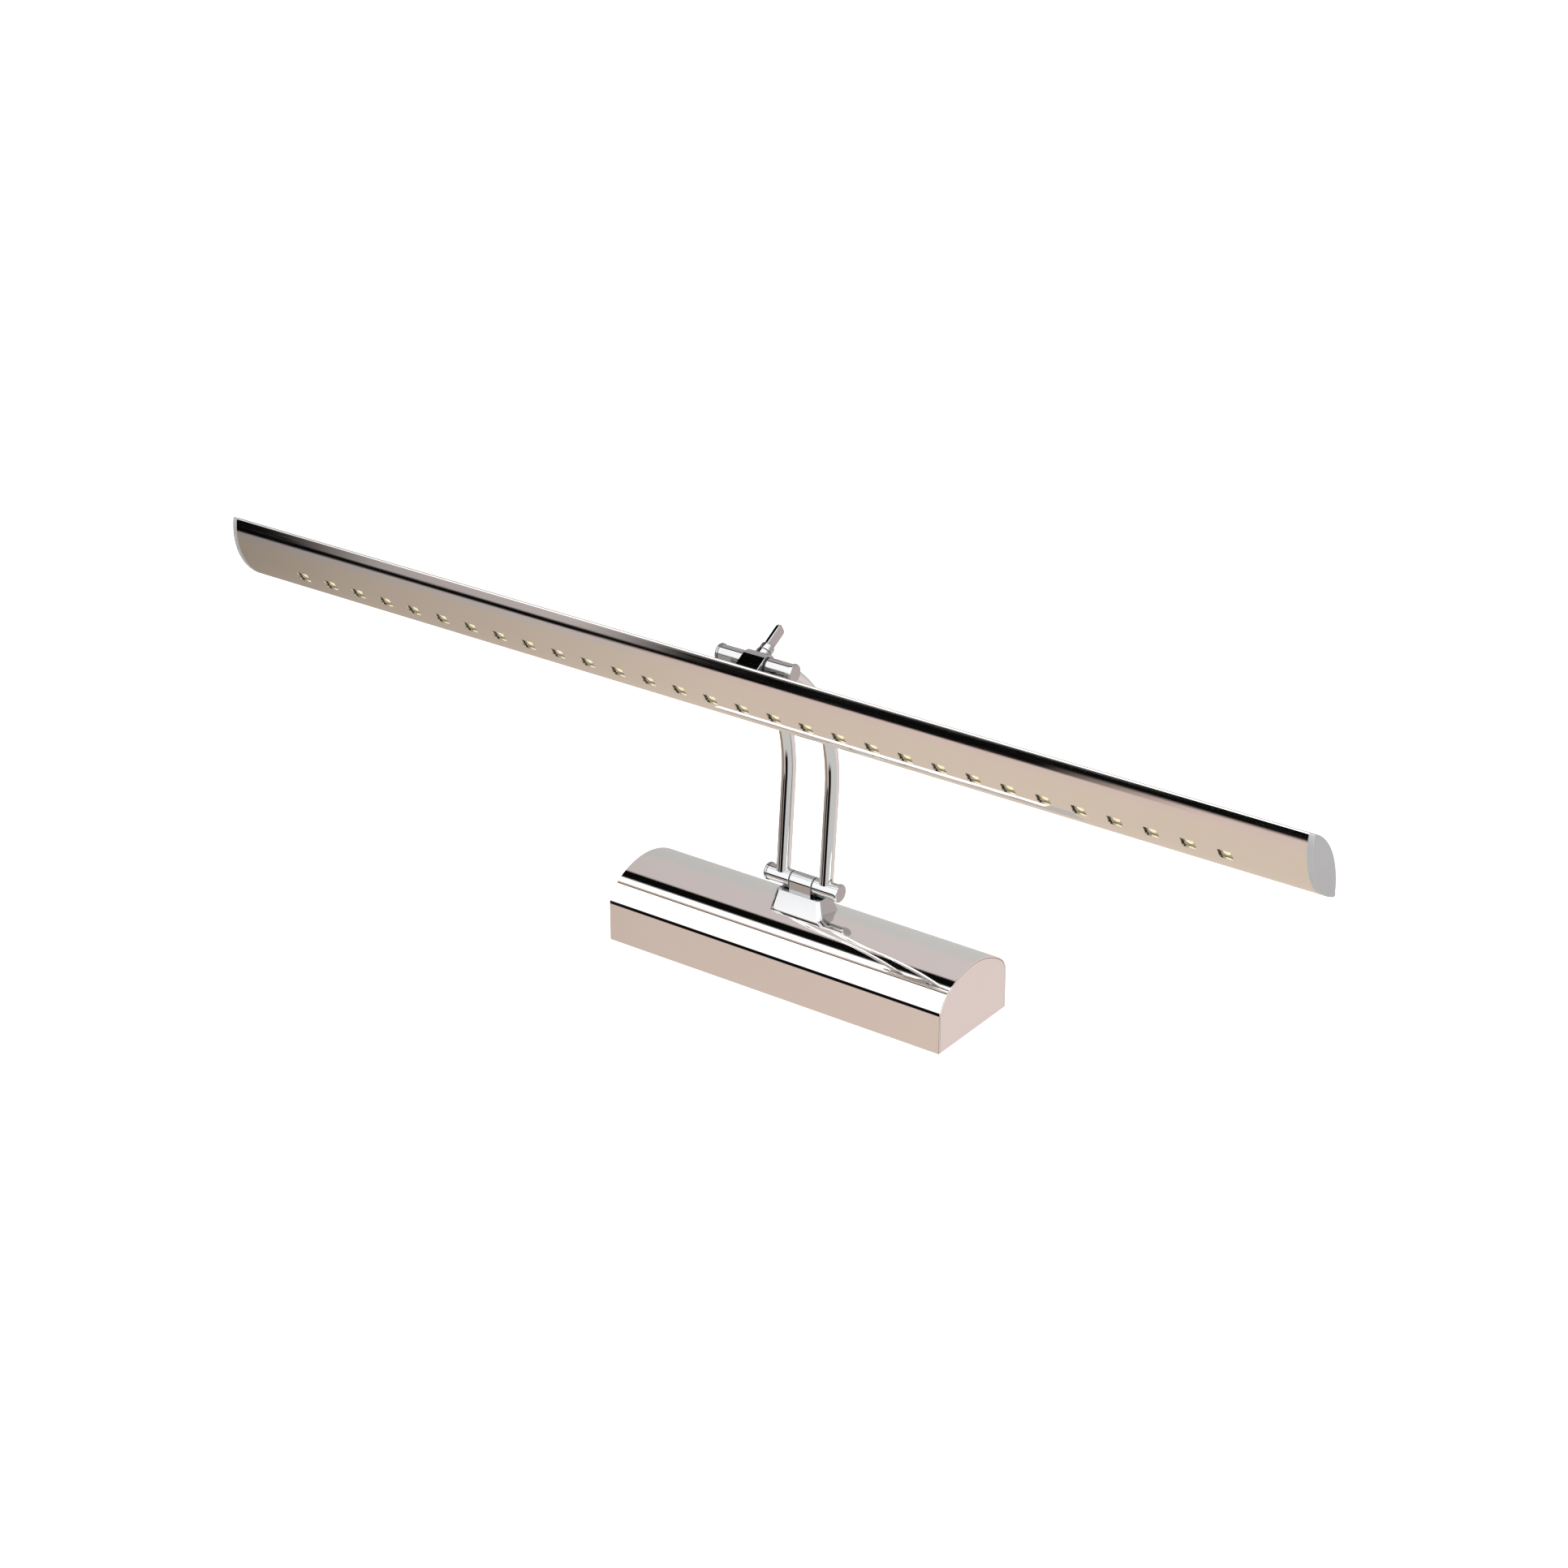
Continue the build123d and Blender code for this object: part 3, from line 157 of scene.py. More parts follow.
def room_ramp(factor, stops):
    """A colour ramp with its stops, fed by a factor."""
    ramp = room.nodes.new("ShaderNodeValToRGB")
    while len(ramp.color_ramp.elements) < len(stops):
        ramp.color_ramp.elements.new(1.0)
    for element, (place, colour) in zip(ramp.color_ramp.elements, stops):
        element.position = place
        element.color = (*colour, 1)
    room.links.new(factor, ramp.inputs[0])
    return ramp.outputs["Color"]


def room_bands(bands):
    """The bands of one part of the room, by the angle about X."""
    return room_ramp(wrap.outputs[0], [(degrees / 360, colour) for degrees, colour in bands])


def room_span(value, start, end):
    """A value stretched from its own span to 0..1."""
    span = room.nodes.new("ShaderNodeMapRange")
    span.inputs["From Min"].default_value = start
    span.inputs["From Max"].default_value = end
    room.links.new(value, span.inputs["Value"])
    return span.outputs["Result"]


def room_mix(blend, factor, first, second):
    """Two colours of the room blended."""
    mix = room.nodes.new("ShaderNodeMix")
    mix.data_type = "RGBA"
    mix.blend_type = blend
    mix.inputs["Factor"].default_value = 1.0
    if factor is not None:
        room.links.new(factor, mix.inputs["Factor"])
    room.links.new(first, mix.inputs["A"])
    room.links.new(second, mix.inputs["B"])
    return mix.outputs["Result"]


direction = room.nodes.new("ShaderNodeTexCoord")
split = room.nodes.new("ShaderNodeSeparateXYZ")
angle = room.nodes.new("ShaderNodeMath")
angle.operation = "ARCTAN2"
turn = room.nodes.new("ShaderNodeMath")
turn.operation = "DIVIDE"
turn.inputs[1].default_value = 2 * math.pi
wrap = room.nodes.new("ShaderNodeMath")
wrap.operation = "FRACT"
room.links.new(direction.outputs["Generated"], split.inputs[0])
room.links.new(split.outputs["Z"], angle.inputs[0])
room.links.new(split.outputs["Y"], angle.inputs[1])
room.links.new(angle.outputs[0], turn.inputs[0])
room.links.new(turn.outputs[0], wrap.inputs[0])
across = split.outputs["X"]
walls = room_bands(FAR_LEFT)
for bands, start, end in ROOM_PARTS:
    walls = room_mix("MIX", room_span(across, start, end), walls, room_bands(bands))
shade_start, shade_end = SHADE[0][0], SHADE[-1][0]
shade_stops = [
    ((place - shade_start) / (shade_end - shade_start), (level, level, level)) for place, level in SHADE
]
shade = room_ramp(room_span(across, shade_start, shade_end), shade_stops)
glow = room.nodes.new("ShaderNodeBackground")
glow.inputs["Strength"].default_value = 1.0
output = room.nodes.new("ShaderNodeOutputWorld")
room.links.new(room_mix("MULTIPLY", None, walls, shade), glow.inputs["Color"])
room.links.new(glow.outputs[0], output.inputs["Surface"])
print("room parts", 1 + len(ROOM_PARTS))

# %% [markdown]
# ## Floor and backdrop
# The lamp stands with its base on a plain pale floor under a white dome. Both are for the
# camera only: mirrors would pick them up and lose the room's bands, so their reflection is
# switched off on the object, which is simpler than mixing it out in a shader.

# %% Floor and backdrop
FLOOR_RADIUS = 4.0
FLOOR_GAP = 0.2 * MM  # below the base's flat back


def pale_paint(name, glow_strength):
    """Matt white paint with a slight glow, so that the paper stays clean under soft light."""
    paint = bpy.data.materials.new(name)
    paint.use_nodes = True
    shader = paint.node_tree.nodes["Principled BSDF"]
    shader.inputs["Base Color"].default_value = (0.9, 0.9, 0.9, 1)
    shader.inputs["Roughness"].default_value = 0.9
    shader.inputs["Emission Color"].default_value = (1, 1, 1, 1)
    shader.inputs["Emission Strength"].default_value = glow_strength
    return paint


def stage_piece(name, bm, paint):
    """A stage object that the camera sees and mirrors don't."""
    mesh = bpy.data.meshes.new(name)
    bm.to_mesh(mesh)
    bm.free()
    mesh.materials.append(paint)
    thing = bpy.data.objects.new(name, mesh)
    bpy.context.scene.collection.objects.link(thing)
    thing.visible_glossy = False
    return thing


bm = bmesh.new()
bmesh.ops.create_circle(bm, cap_ends=True, radius=FLOOR_RADIUS, segments=96)
bmesh.ops.translate(bm, verts=bm.verts, vec=-UP * FLOOR_GAP)
stage_piece("floor", bm, pale_paint("floor_paper", 0.55))

bm = bmesh.new()
bmesh.ops.create_uvsphere(bm, u_segments=64, v_segments=32, radius=FLOOR_RADIUS)
bmesh.ops.bisect_plane(
    bm,
    geom=[*bm.verts, *bm.edges, *bm.faces],
    plane_co=-UP * FLOOR_GAP,
    plane_no=-UP,
    clear_outer=True,
)
bmesh.ops.reverse_faces(bm, faces=bm.faces)
backdrop = stage_piece("backdrop", bm, pale_paint("backdrop_paper", 1.0))
backdrop.visible_diffuse = False
backdrop.visible_shadow = False
print("floor radius", FLOOR_RADIUS, "m")

# %% [markdown]
# ## Soft light
# The room lights the metal. One broad soft panel high up front fills the matt pieces, and the
# plain view transform keeps white paper white.

# %% Soft panel
PANEL_SIZE = 2.4  # metres
PANEL_POWER = 30  # watts
PANEL_PLACE = (0.6, -0.9, 2.4)

panel_light = bpy.data.lights.new("soft_panel", "AREA")
panel_light.shape = "RECTANGLE"
panel_light.size = PANEL_SIZE
panel_light.size_y = PANEL_SIZE
panel_light.energy = PANEL_POWER
panel = bpy.data.objects.new("soft_panel", panel_light)
bpy.context.scene.collection.objects.link(panel)
panel.location = PANEL_PLACE
panel.rotation_euler = (panel.location - CAMERA_TARGET).to_track_quat("Z", "Y").to_euler()
panel.visible_glossy = False
bpy.context.scene.view_settings.view_transform = "Standard"
print("panel energy", panel_light.energy, "W")

# %% [markdown]
# ## Finishes
# Each finish is a Principled shader fed by procedural patterns on Object coordinates, so that
# they stay put on the metal from every view. Polished steel is never perfect: polishing leaves
# faint long lines and a little haze, which show as slight changes of roughness.

# %% Metal finishes
def pattern(tree, scale, detail=2.0, stretch=(1, 1, 1)):
    """Noise in object space. The stretch turns grains into lines."""
    place = tree.nodes.new("ShaderNodeTexCoord")
    mapping = tree.nodes.new("ShaderNodeMapping")
    mapping.inputs["Scale"].default_value = stretch
    noise = tree.nodes.new("ShaderNodeTexNoise")
    noise.inputs["Scale"].default_value = scale
    noise.inputs["Detail"].default_value = detail
    tree.links.new(place.outputs["Object"], mapping.inputs["Vector"])
    tree.links.new(mapping.outputs["Vector"], noise.inputs["Vector"])
    return noise.outputs["Fac"]


def between(tree, factor, low, high):
    """The pattern's middle range stretched between two values."""
    spread = tree.nodes.new("ShaderNodeMapRange")
    spread.inputs["From Min"].default_value = 0.3
    spread.inputs["From Max"].default_value = 0.7
    spread.inputs["To Min"].default_value = low
    spread.inputs["To Max"].default_value = high
    tree.links.new(factor, spread.inputs["Value"])
    return spread.outputs["Result"]


def tinted(tree, factor, first, second):
    """Two colours mixed by a pattern."""
    mix = tree.nodes.new("ShaderNodeMix")
    mix.data_type = "RGBA"
    mix.inputs["A"].default_value = (*first, 1)
    mix.inputs["B"].default_value = (*second, 1)
    tree.links.new(factor, mix.inputs["Factor"])
    return mix.outputs["Result"]


def relief(tree, shader, factor, strength, distance):
    """A pattern as a shallow relief."""
    bump = tree.nodes.new("ShaderNodeBump")
    bump.inputs["Strength"].default_value = strength
    bump.inputs["Distance"].default_value = distance
    tree.links.new(factor, bump.inputs["Height"])
    tree.links.new(bump.outputs["Normal"], shader.inputs["Normal"])


def new_finish(name, metallic):
    """An empty finish: its node tree and its shader."""
    finish = bpy.data.materials.new(name)
    finish.use_nodes = True
    tree = finish.node_tree
    shader = tree.nodes["Principled BSDF"]
    shader.inputs["Metallic"].default_value = metallic
    return finish, tree, shader


def polished(name, bright, dull, haze):
    """Mirror-polished metal with faint lines along X and a little haze."""
    finish, tree, shader = new_finish(name, 1.0)
    lines = pattern(tree, 60.0, 3.0, stretch=(0.4, 40, 40))
    cloud = pattern(tree, 45.0, 4.0)
    tree.links.new(tinted(tree, cloud, bright, dull), shader.inputs["Base Color"])
    tree.links.new(between(tree, lines, 0.02, haze), shader.inputs["Roughness"])
    relief(tree, shader, pattern(tree, 25.0, 1.0), 0.05, 0.02 * MM)
    return finish


def satin(name, bright, dull, roughness, metallic=1.0):
    """Fine-blasted metal or paint with a soft sheen."""
    finish, tree, shader = new_finish(name, metallic)
    grain = pattern(tree, 2500.0, 2.0)
    cloud = pattern(tree, 60.0, 3.0)
    tree.links.new(tinted(tree, cloud, bright, dull), shader.inputs["Base Color"])
    tree.links.new(between(tree, grain, roughness - 0.06, roughness + 0.06), shader.inputs["Roughness"])
    relief(tree, shader, grain, 0.15, 0.03 * MM)
    return finish


base_steel = polished("base_steel", (0.90, 0.875, 0.855), (0.87, 0.845, 0.825), 0.05)
head_steel = polished("head_steel", (0.90, 0.875, 0.85), (0.87, 0.845, 0.82), 0.09)
hinge_chrome = polished("hinge_chrome", (0.55, 0.555, 0.56), (0.50, 0.505, 0.51), 0.04)
tube_chrome = polished("tube_chrome", (0.90, 0.90, 0.90), (0.86, 0.86, 0.86), 0.07)
cap_satin = satin("cap_satin", (0.40, 0.415, 0.42), (0.36, 0.375, 0.38), 0.38, 0.55)
print("materials so far", len(bpy.data.materials))

# %% [markdown]
# ## How sheet and bar pieces are drawn
# Nearly every piece is a line that was drawn on straight or turned about an axis, and then given
# a wall or an edge round. These few helpers do that with bmesh operators, so an arc is always an
# exact spin and never a list of points.

# %% Drawing helpers
MERGE = 0.002 * MM
SMOOTH_UP_TO = math.radians(35)
SHARP_OVER = math.radians(40)


def drawn_on(bm, ends, offset):
    """Extrudes the last vertices and edges in a straight line and returns the new ends."""
    made = bmesh.ops.spin(bm, geom=ends, cent=(0, 0, 0), axis=ALONG, dvec=offset, angle=0, steps=1)
    return made["geom_last"]


def turned(bm, ends, centre, degrees, steps):
    """Extrudes the last vertices and edges round an axis along X and returns the new ends."""
    made = bmesh.ops.spin(
        bm, geom=ends, cent=centre, axis=ALONG, angle=math.radians(degrees), steps=steps
    )
    return made["geom_last"]


def lathed(bm, profile, centre, axis, steps=48):
    """A closed or open line of points given a full turn."""
    corners = [bm.verts.new(point) for point in profile]
    lines = [bm.edges.new(pair) for pair in zip(corners, corners[1:])]
    bmesh.ops.spin(
        bm,
        geom=[*corners, *lines],
        cent=centre,
        axis=axis,
        angle=2 * math.pi,
        steps=steps,
        use_merge=True,
    )
    bmesh.ops.remove_doubles(bm, verts=bm.verts, dist=MERGE)
    bmesh.ops.recalc_face_normals(bm, faces=bm.faces)


def sharp_edges(bm):
    """Edges where two faces meet at a clear angle."""
    return [edge for edge in bm.edges if edge.calc_face_angle(0) > SHARP_OVER]


def rounded(bm, edges, radius, segments=3):
    """Rounds edges as a polisher's wheel does."""
    bmesh.ops.bevel(
        bm,
        geom=edges,
        offset=radius,
        offset_type="OFFSET",
        segments=segments,
        profile=0.5,
        affect="EDGES",
        material=-1,
        clamp_overlap=True,
    )


def thickened(bm, faces, offset):
    """Extrudes a flat face into a closed solid."""
    made = bmesh.ops.extrude_face_region(bm, geom=faces, use_keep_orig=True)
    moved = [item for item in made["geom"] if isinstance(item, bmesh.types.BMVert)]
    bmesh.ops.translate(bm, verts=moved, vec=offset)
    bmesh.ops.recalc_face_normals(bm, faces=bm.faces)
    return moved


def finished(name, bm, finish, body, slot_name, *nodes):
    """Turns the mesh into a piece that rides on its body and stands for its nodes."""
    mesh = bpy.data.meshes.new(name)
    bm.to_mesh(mesh)
    bm.free()
    for coat in finish if isinstance(finish, tuple) else (finish,):
        mesh.materials.append(coat)
    mesh.shade_smooth()
    mesh.set_sharp_from_angle(angle=SMOOTH_UP_TO)
    piece = bpy.data.objects.new(name, mesh)
    bpy.context.scene.collection.objects.link(piece)
    flats = piece.modifiers.new("flats stay flat", "WEIGHTED_NORMAL")
    flats.keep_sharp = True
    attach(piece, body)
    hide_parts(*nodes)
    print("made", name, "with", len(mesh.polygons), "faces")


# %% [markdown]
# ## Base cover
# The base is one bright sheet folded over the driver: straight walls, a small haunch radius and
# a wide crown. One edge along X is drawn up the wall, turned over haunch, crown and haunch, and
# drawn down again. Solidify then gives the sheet its wall.

# %% Base section
COVER_SHEET = 0.8 * MM
WALL_HEIGHT = 17.5 * MM
HAUNCH_RADIUS = 10.0 * MM
HAUNCH_STEPS = 18
CROWN_STEPS = 40
COVER_EDGE = 0.2 * MM

base_low, base_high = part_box("base_cover")
base_half = base_high.y
haunch_y = base_half - HAUNCH_RADIUS
crown_rise = base_high.z - WALL_HEIGHT
crown_radius = (haunch_y**2 + crown_rise**2 - HAUNCH_RADIUS**2) / (2 * (crown_rise - HAUNCH_RADIUS))
crown_centre = Vector((0, 0, base_high.z - crown_radius))
crown_half_turn = math.degrees(math.atan2(haunch_y, WALL_HEIGHT - crown_centre.z))
print("crown radius", round(crown_radius / MM, 2), "mm, half turn", round(crown_half_turn, 1))


def over_the_arch(bm, ends):
    """Draws vertices or edges that start at the foot of the +Y wall over the whole section."""
    ends = drawn_on(bm, ends, UP * WALL_HEIGHT)
    ends = turned(bm, ends, (0, haunch_y, WALL_HEIGHT), 90 - crown_half_turn, HAUNCH_STEPS)
    ends = turned(bm, ends, crown_centre, 2 * crown_half_turn, CROWN_STEPS)
    ends = turned(bm, ends, (0, -haunch_y, WALL_HEIGHT), 90 - crown_half_turn, HAUNCH_STEPS)
    drawn_on(bm, ends, -UP * WALL_HEIGHT)


def edge_along(bm, start_x, end_x, y, z):
    """One edge parallel to X, as the start of a sheet."""
    ends = [bm.verts.new((x, y, z)) for x in (start_x, end_x)]
    return [*ends, bm.edges.new(ends)]


def given_a_wall(bm, thickness):
    """Solidifies a sheet inwards, away from its outward normals."""
    bmesh.ops.solidify(bm, geom=bm.faces, thickness=thickness)


# %% Base cover
bm = bmesh.new()
over_the_arch(bm, edge_along(bm, base_low.x, base_high.x, base_half, 0))
bmesh.ops.recalc_face_normals(bm, faces=bm.faces)
given_a_wall(bm, COVER_SHEET)
rounded(bm, sharp_edges(bm), COVER_EDGE, 2)
finished("base_shell", bm, base_steel, "base", "polished_steel", "base_cover")

# %% [markdown]
# ## Base end caps
# A flat plate closes each end of the cover. A single vertex drawn over the same section gives the
# plate's outline, so it fits inside the sheet with the same gap all round.

# %% Base end caps
PLATE_SEAM = 0.1 * MM
PLATE_EDGE = 0.15 * MM


def closed_face(bm):
    """Joins the loose ends of a drawn line, if it has any, and fills it with one face."""
    ends = [vertex for vertex in bm.verts if len(vertex.link_edges) == 1]
    if ends:
        bm.edges.new(ends)
    return bmesh.ops.edgeloop_fill(bm, edges=bm.edges)["faces"]


for side, label in ((-1, "left"), (1, "right")):
    node = "base_end_cap_" + label
    low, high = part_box(node)
    outer_x = max(low.x, high.x, key=lambda x: x * side)
    bm = bmesh.new()
    start = bm.verts.new((outer_x, base_half - COVER_SHEET - PLATE_SEAM, 0))
    over_the_arch(bm, [start])
    thickened(bm, closed_face(bm), ALONG * -side * (high.x - low.x))
    rounded(bm, sharp_edges(bm), PLATE_EDGE, 2)
    finished("base_end_plate_" + label, bm, base_steel, "base", "polished_steel", node)

# %% [markdown]
# ## Hinges
# Each hinge is a middle knuckle between two barrels on one pin, with a nylon washer at each gap
# and a domed cap on each end. The barrels, washers and caps are turned parts, so each is a profile
# with a full spin about the pin, and a bevel takes the sharpness off the rims.

# %% Turned pieces for both hinges
BARREL_RADIUS = 3.8 * MM
FIXED_BORE = 2.05 * MM
RIM = 0.3 * MM
WASHER_THICKNESS = 0.5 * MM
WASHER_EDGE = 0.08 * MM
SPIGOT_RADIUS = 1.25 * MM
SPIGOT_LENGTH = 3.0 * MM
CAP_DOME = 0.9 * MM


def ring_profile(centre, start_x, end_x, bore, radius):
    """Corners of a sleeve's section, above the pin's middle line."""
    corners = ((start_x, bore), (start_x, radius), (end_x, radius), (end_x, bore), (start_x, bore))
    return [(x, centre.y, centre.z + height) for x, height in corners]


def sleeve(name, centre, start_x, end_x, radius, finish, slot_name, node):
    """A barrel: a sleeve with eased rims."""
    bm = bmesh.new()
    lathed(bm, ring_profile(centre, start_x, end_x, FIXED_BORE, radius), centre, ALONG, 64)
    rounded(bm, sharp_edges(bm), RIM)
    finished(name, bm, finish, "arm", slot_name, node)


def pair_of_washers(name, centre, node):
    """Two thin rings in one piece."""
    low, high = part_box(node)
    radius = (high.z - low.z) / 2
    bm = bmesh.new()
    for side in (-1, 1):
        face_x = side * high.x
        inner_x = side * (high.x - WASHER_THICKNESS)
        lathed(bm, ring_profile(centre, inner_x, face_x, FIXED_BORE, radius), centre, ALONG)
    rounded(bm, sharp_edges(bm), WASHER_EDGE, 2)
    finished(name, bm, washer_nylon, "arm", "washer_plastic", node)


def pair_of_caps(name, centre, barrel_end, node):
    """Two domed discs, each with a spigot that plugs the hollow pin."""
    low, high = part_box(node)
    radius = (high.z - low.z) / 2
    spigot_start = barrel_end - SPIGOT_LENGTH
    profile = (
        (spigot_start, 0),
        (spigot_start, SPIGOT_RADIUS),
        (barrel_end, SPIGOT_RADIUS),
        (barrel_end, radius),
        (high.x, radius),
        (high.x, 0),
    )
    bm = bmesh.new()
    for side in (-1, 1):
        corners = [(side * x, centre.y, centre.z + height) for x, height in profile]
        lathed(bm, corners, centre, ALONG, 64)
    rims = [
        edge
        for edge in sharp_edges(bm)
        if all(abs(vertex.co.x) > high.x - MERGE for vertex in edge.verts)
    ]
    rounded(bm, rims, CAP_DOME, 6)
    finished(name, bm, hinge_chrome, "arm", "polished_steel", node)


def moulded(name, colour, shade, roughness, relief_strength=0.1):
    """Moulded plastic or rubber: a fine skin, slightly uneven in colour and gloss."""
    finish, tree, shader = new_finish(name, 0.0)
    skin = pattern(tree, 1800.0, 2.0)
    cloud = pattern(tree, 90.0, 3.0)
    tree.links.new(tinted(tree, cloud, colour, shade), shader.inputs["Base Color"])
    tree.links.new(between(tree, skin, roughness - 0.05, roughness + 0.08), shader.inputs["Roughness"])
    relief(tree, shader, skin, relief_strength, 0.02 * MM)
    return finish


washer_nylon = moulded("washer_nylon", (0.03, 0.03, 0.03), (0.05, 0.05, 0.05), 0.4)

for level, centre in (("lower", lower_axis), ("upper", upper_axis)):
    for label in ("left", "right"):
        node = level + "_barrel_" + label
        low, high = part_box(node)
        name = level + "_sleeve_" + label
        sleeve(name, centre, low.x, high.x, BARREL_RADIUS, hinge_chrome, "polished_steel", node)
    barrel_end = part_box(level + "_barrel_right")[1].x
    pair_of_washers(level + "_washer_pair", centre, level + "_washers")
    pair_of_caps(level + "_cap_pair", centre, barrel_end, level + "_end_caps")

# %% [markdown]
# ## Hinge foot
# The foot is a small tapered block that sits on the crown and carries the lower knuckle. Its
# outline is a rectangle with rounded corners. The block is sliced before its underside is laid on
# the curve of the crown, which needs the extra vertices.

# %% Foot and pad helpers
def rounded_face(bm, length, width, corner, height):
    """A flat face with rounded corners, centred at a height."""
    corners = bmesh.ops.create_grid(bm, x_segments=1, y_segments=1, size=0.5)["verts"]
    bmesh.ops.scale(bm, verts=corners, vec=(length, width, 1))
    bmesh.ops.translate(bm, verts=corners, vec=UP * height)
    bmesh.ops.bevel(
        bm,
        geom=corners,
        offset=corner,
        offset_type="OFFSET",
        segments=6,
        profile=0.5,
        affect="VERTICES",
        material=-1,
    )
    return list(bm.faces)


def laid_on_arc(bm, bottom, centre_y, centre_z, radius, slices=9):
    """Slices the solid lengthwise and moves its underside onto an arc about an axis along X."""
    across = max(vertex.co.y for vertex in bm.verts)
    for number in range(1, slices):
        y = across * (2 * number / slices - 1)
        everything = [*bm.verts, *bm.edges, *bm.faces]
        bmesh.ops.bisect_plane(bm, geom=everything, plane_co=(0, y, 0), plane_no=(0, 1, 0), dist=MERGE / 10)
    for vertex in bm.verts:
        if vertex.co.z < bottom + MERGE:
            vertex.co.z = centre_z + math.sqrt(radius**2 - (vertex.co.y - centre_y) ** 2)


def eye_profile(bm, x, foot_z, centre, radius):
    """Line of an eye on a web: up one side, half round the axis and down the other."""
    ends = [bm.verts.new((x, centre.y + radius, foot_z))]
    ends = drawn_on(bm, ends, UP * (centre.z - foot_z))
    ends = turned(bm, ends, centre, 180, 24)
    drawn_on(bm, ends, -UP * (centre.z - foot_z))


def joined(*solids):
    """Several closed solids in one mesh."""
    whole = bmesh.new()
    for solid in solids:
        part_mesh = bpy.data.meshes.new("part")
        solid.to_mesh(part_mesh)
        whole.from_mesh(part_mesh)
        bpy.data.meshes.remove(part_mesh)
        solid.free()
    return whole


# %% Hinge foot
FOOT_LENGTH = 27.0 * MM
FOOT_WIDTH = 15.0 * MM
FOOT_CORNER = 2.0 * MM
FOOT_TAPER = math.radians(12)
FOOT_BOTTOM = 31.0 * MM
FOOT_RIM = 0.35 * MM
FOOT_WEB_OVERLAP = 1.0 * MM
EYE_RIM = 0.25 * MM
KNUCKLE_HALF = 5.7 * MM
SWING_GAP = 0.6 * MM

shoulder = lower_axis.z - BARREL_RADIUS - SWING_GAP
block = bmesh.new()
outline = rounded_face(block, FOOT_LENGTH, FOOT_WIDTH, FOOT_CORNER, FOOT_BOTTOM)
top = thickened(block, outline, UP * (shoulder - FOOT_BOTTOM))
shrink = (shoulder - FOOT_BOTTOM) * math.tan(FOOT_TAPER)
bmesh.ops.scale(
    block,
    verts=top,
    vec=(1 - 2 * shrink / FOOT_LENGTH, 1 - 2 * shrink / FOOT_WIDTH, 1),
)
top_rim = [edge for edge in sharp_edges(block) if min(v.co.z for v in edge.verts) > shoulder - MERGE]
rounded(block, top_rim, FOOT_RIM)
laid_on_arc(block, FOOT_BOTTOM, 0, crown_centre.z, crown_radius)

eye = bmesh.new()
eye_profile(eye, -KNUCKLE_HALF, shoulder - FOOT_WEB_OVERLAP, lower_axis, BARREL_RADIUS)
thickened(eye, closed_face(eye), ALONG * 2 * KNUCKLE_HALF)
rounded(eye, sharp_edges(eye), EYE_RIM)
finished("hinge_saddle", joined(block, eye), hinge_chrome, "base", "polished_steel", "hinge_foot")

# %% [markdown]
# ## Arm tubes
# Two slim tubes run straight up from the lower hinge, leaning back a little, and bend over to the
# upper hinge in one large arc. Each is a circle extruded and then spun about the bend's centre,
# which keeps its section round where a curve with a bevel would need more care.

# %% Arm tubes
TUBE_RADIUS = 3.2 * MM
TUBE_WALL = 0.8 * MM
TUBE_LEAN = math.radians(5.0)
TUBE_STRAIGHT = 45.7 * MM
TUBE_BEND = 74.0 * MM
TUBE_SWEEP = 66.4  # degrees
HIDDEN_START = 2.4 * MM  # inside the barrel's wall

tube_way = Vector((0, math.sin(TUBE_LEAN), math.cos(TUBE_LEAN)))
tube_inward = Vector((0, -math.cos(TUBE_LEAN), math.sin(TUBE_LEAN)))
bend_centre = lower_axis + tube_way * TUBE_STRAIGHT + tube_inward * TUBE_BEND
for label in ("left", "right"):
    node = "arm_tube_" + label
    low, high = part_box(node)
    middle = ALONG * (low.x + high.x) / 2
    bm = bmesh.new()
    bmesh.ops.create_circle(bm, cap_ends=False, radius=TUBE_RADIUS, segments=40)
    placed = Matrix.Translation(lower_axis + middle + tube_way * HIDDEN_START)
    bmesh.ops.transform(bm, matrix=placed @ Matrix.Rotation(-TUBE_LEAN, 4, "X"), verts=bm.verts)
    ends = drawn_on(bm, [*bm.verts, *bm.edges], tube_way * (TUBE_STRAIGHT - HIDDEN_START))
    hidden_turn = math.degrees(HIDDEN_START / TUBE_BEND)
    turned(bm, ends, bend_centre, TUBE_SWEEP - hidden_turn, 60)
    bmesh.ops.recalc_face_normals(bm, faces=bm.faces)
    given_a_wall(bm, TUBE_WALL)
    finished("bent_tube_" + label, bm, tube_chrome, "arm", "polished_steel", node)

# %% [markdown]
# ## Head section
# The head is two shallow shells that meet at rounded edges: the face with the LED windows and the
# back. Both arcs come from their chord and their bulge, and the edge rounding is a small arc that
# touches both, so the script works out its centre once. Everything here is drawn in the oval's own
# frame and then turned into place.

# %% Head section
HEAD_CHORD = 40.5 * MM
FACE_BULGE = 8.0 * MM
BACK_BULGE = 6.6 * MM
EDGE_RADIUS = 0.6 * MM
HEAD_SHEET = 0.8 * MM
HEAD_STANDOFF = 16.5 * MM
HEAD_RAISE = 1.5 * MM

oval_frame = head_frame @ Matrix.Translation((0, -HEAD_RAISE, -HEAD_STANDOFF))


def arc_radius(bulge):
    """Radius of the arc over the head's chord with that bulge."""
    return ((HEAD_CHORD / 2) ** 2 + bulge**2) / (2 * bulge)


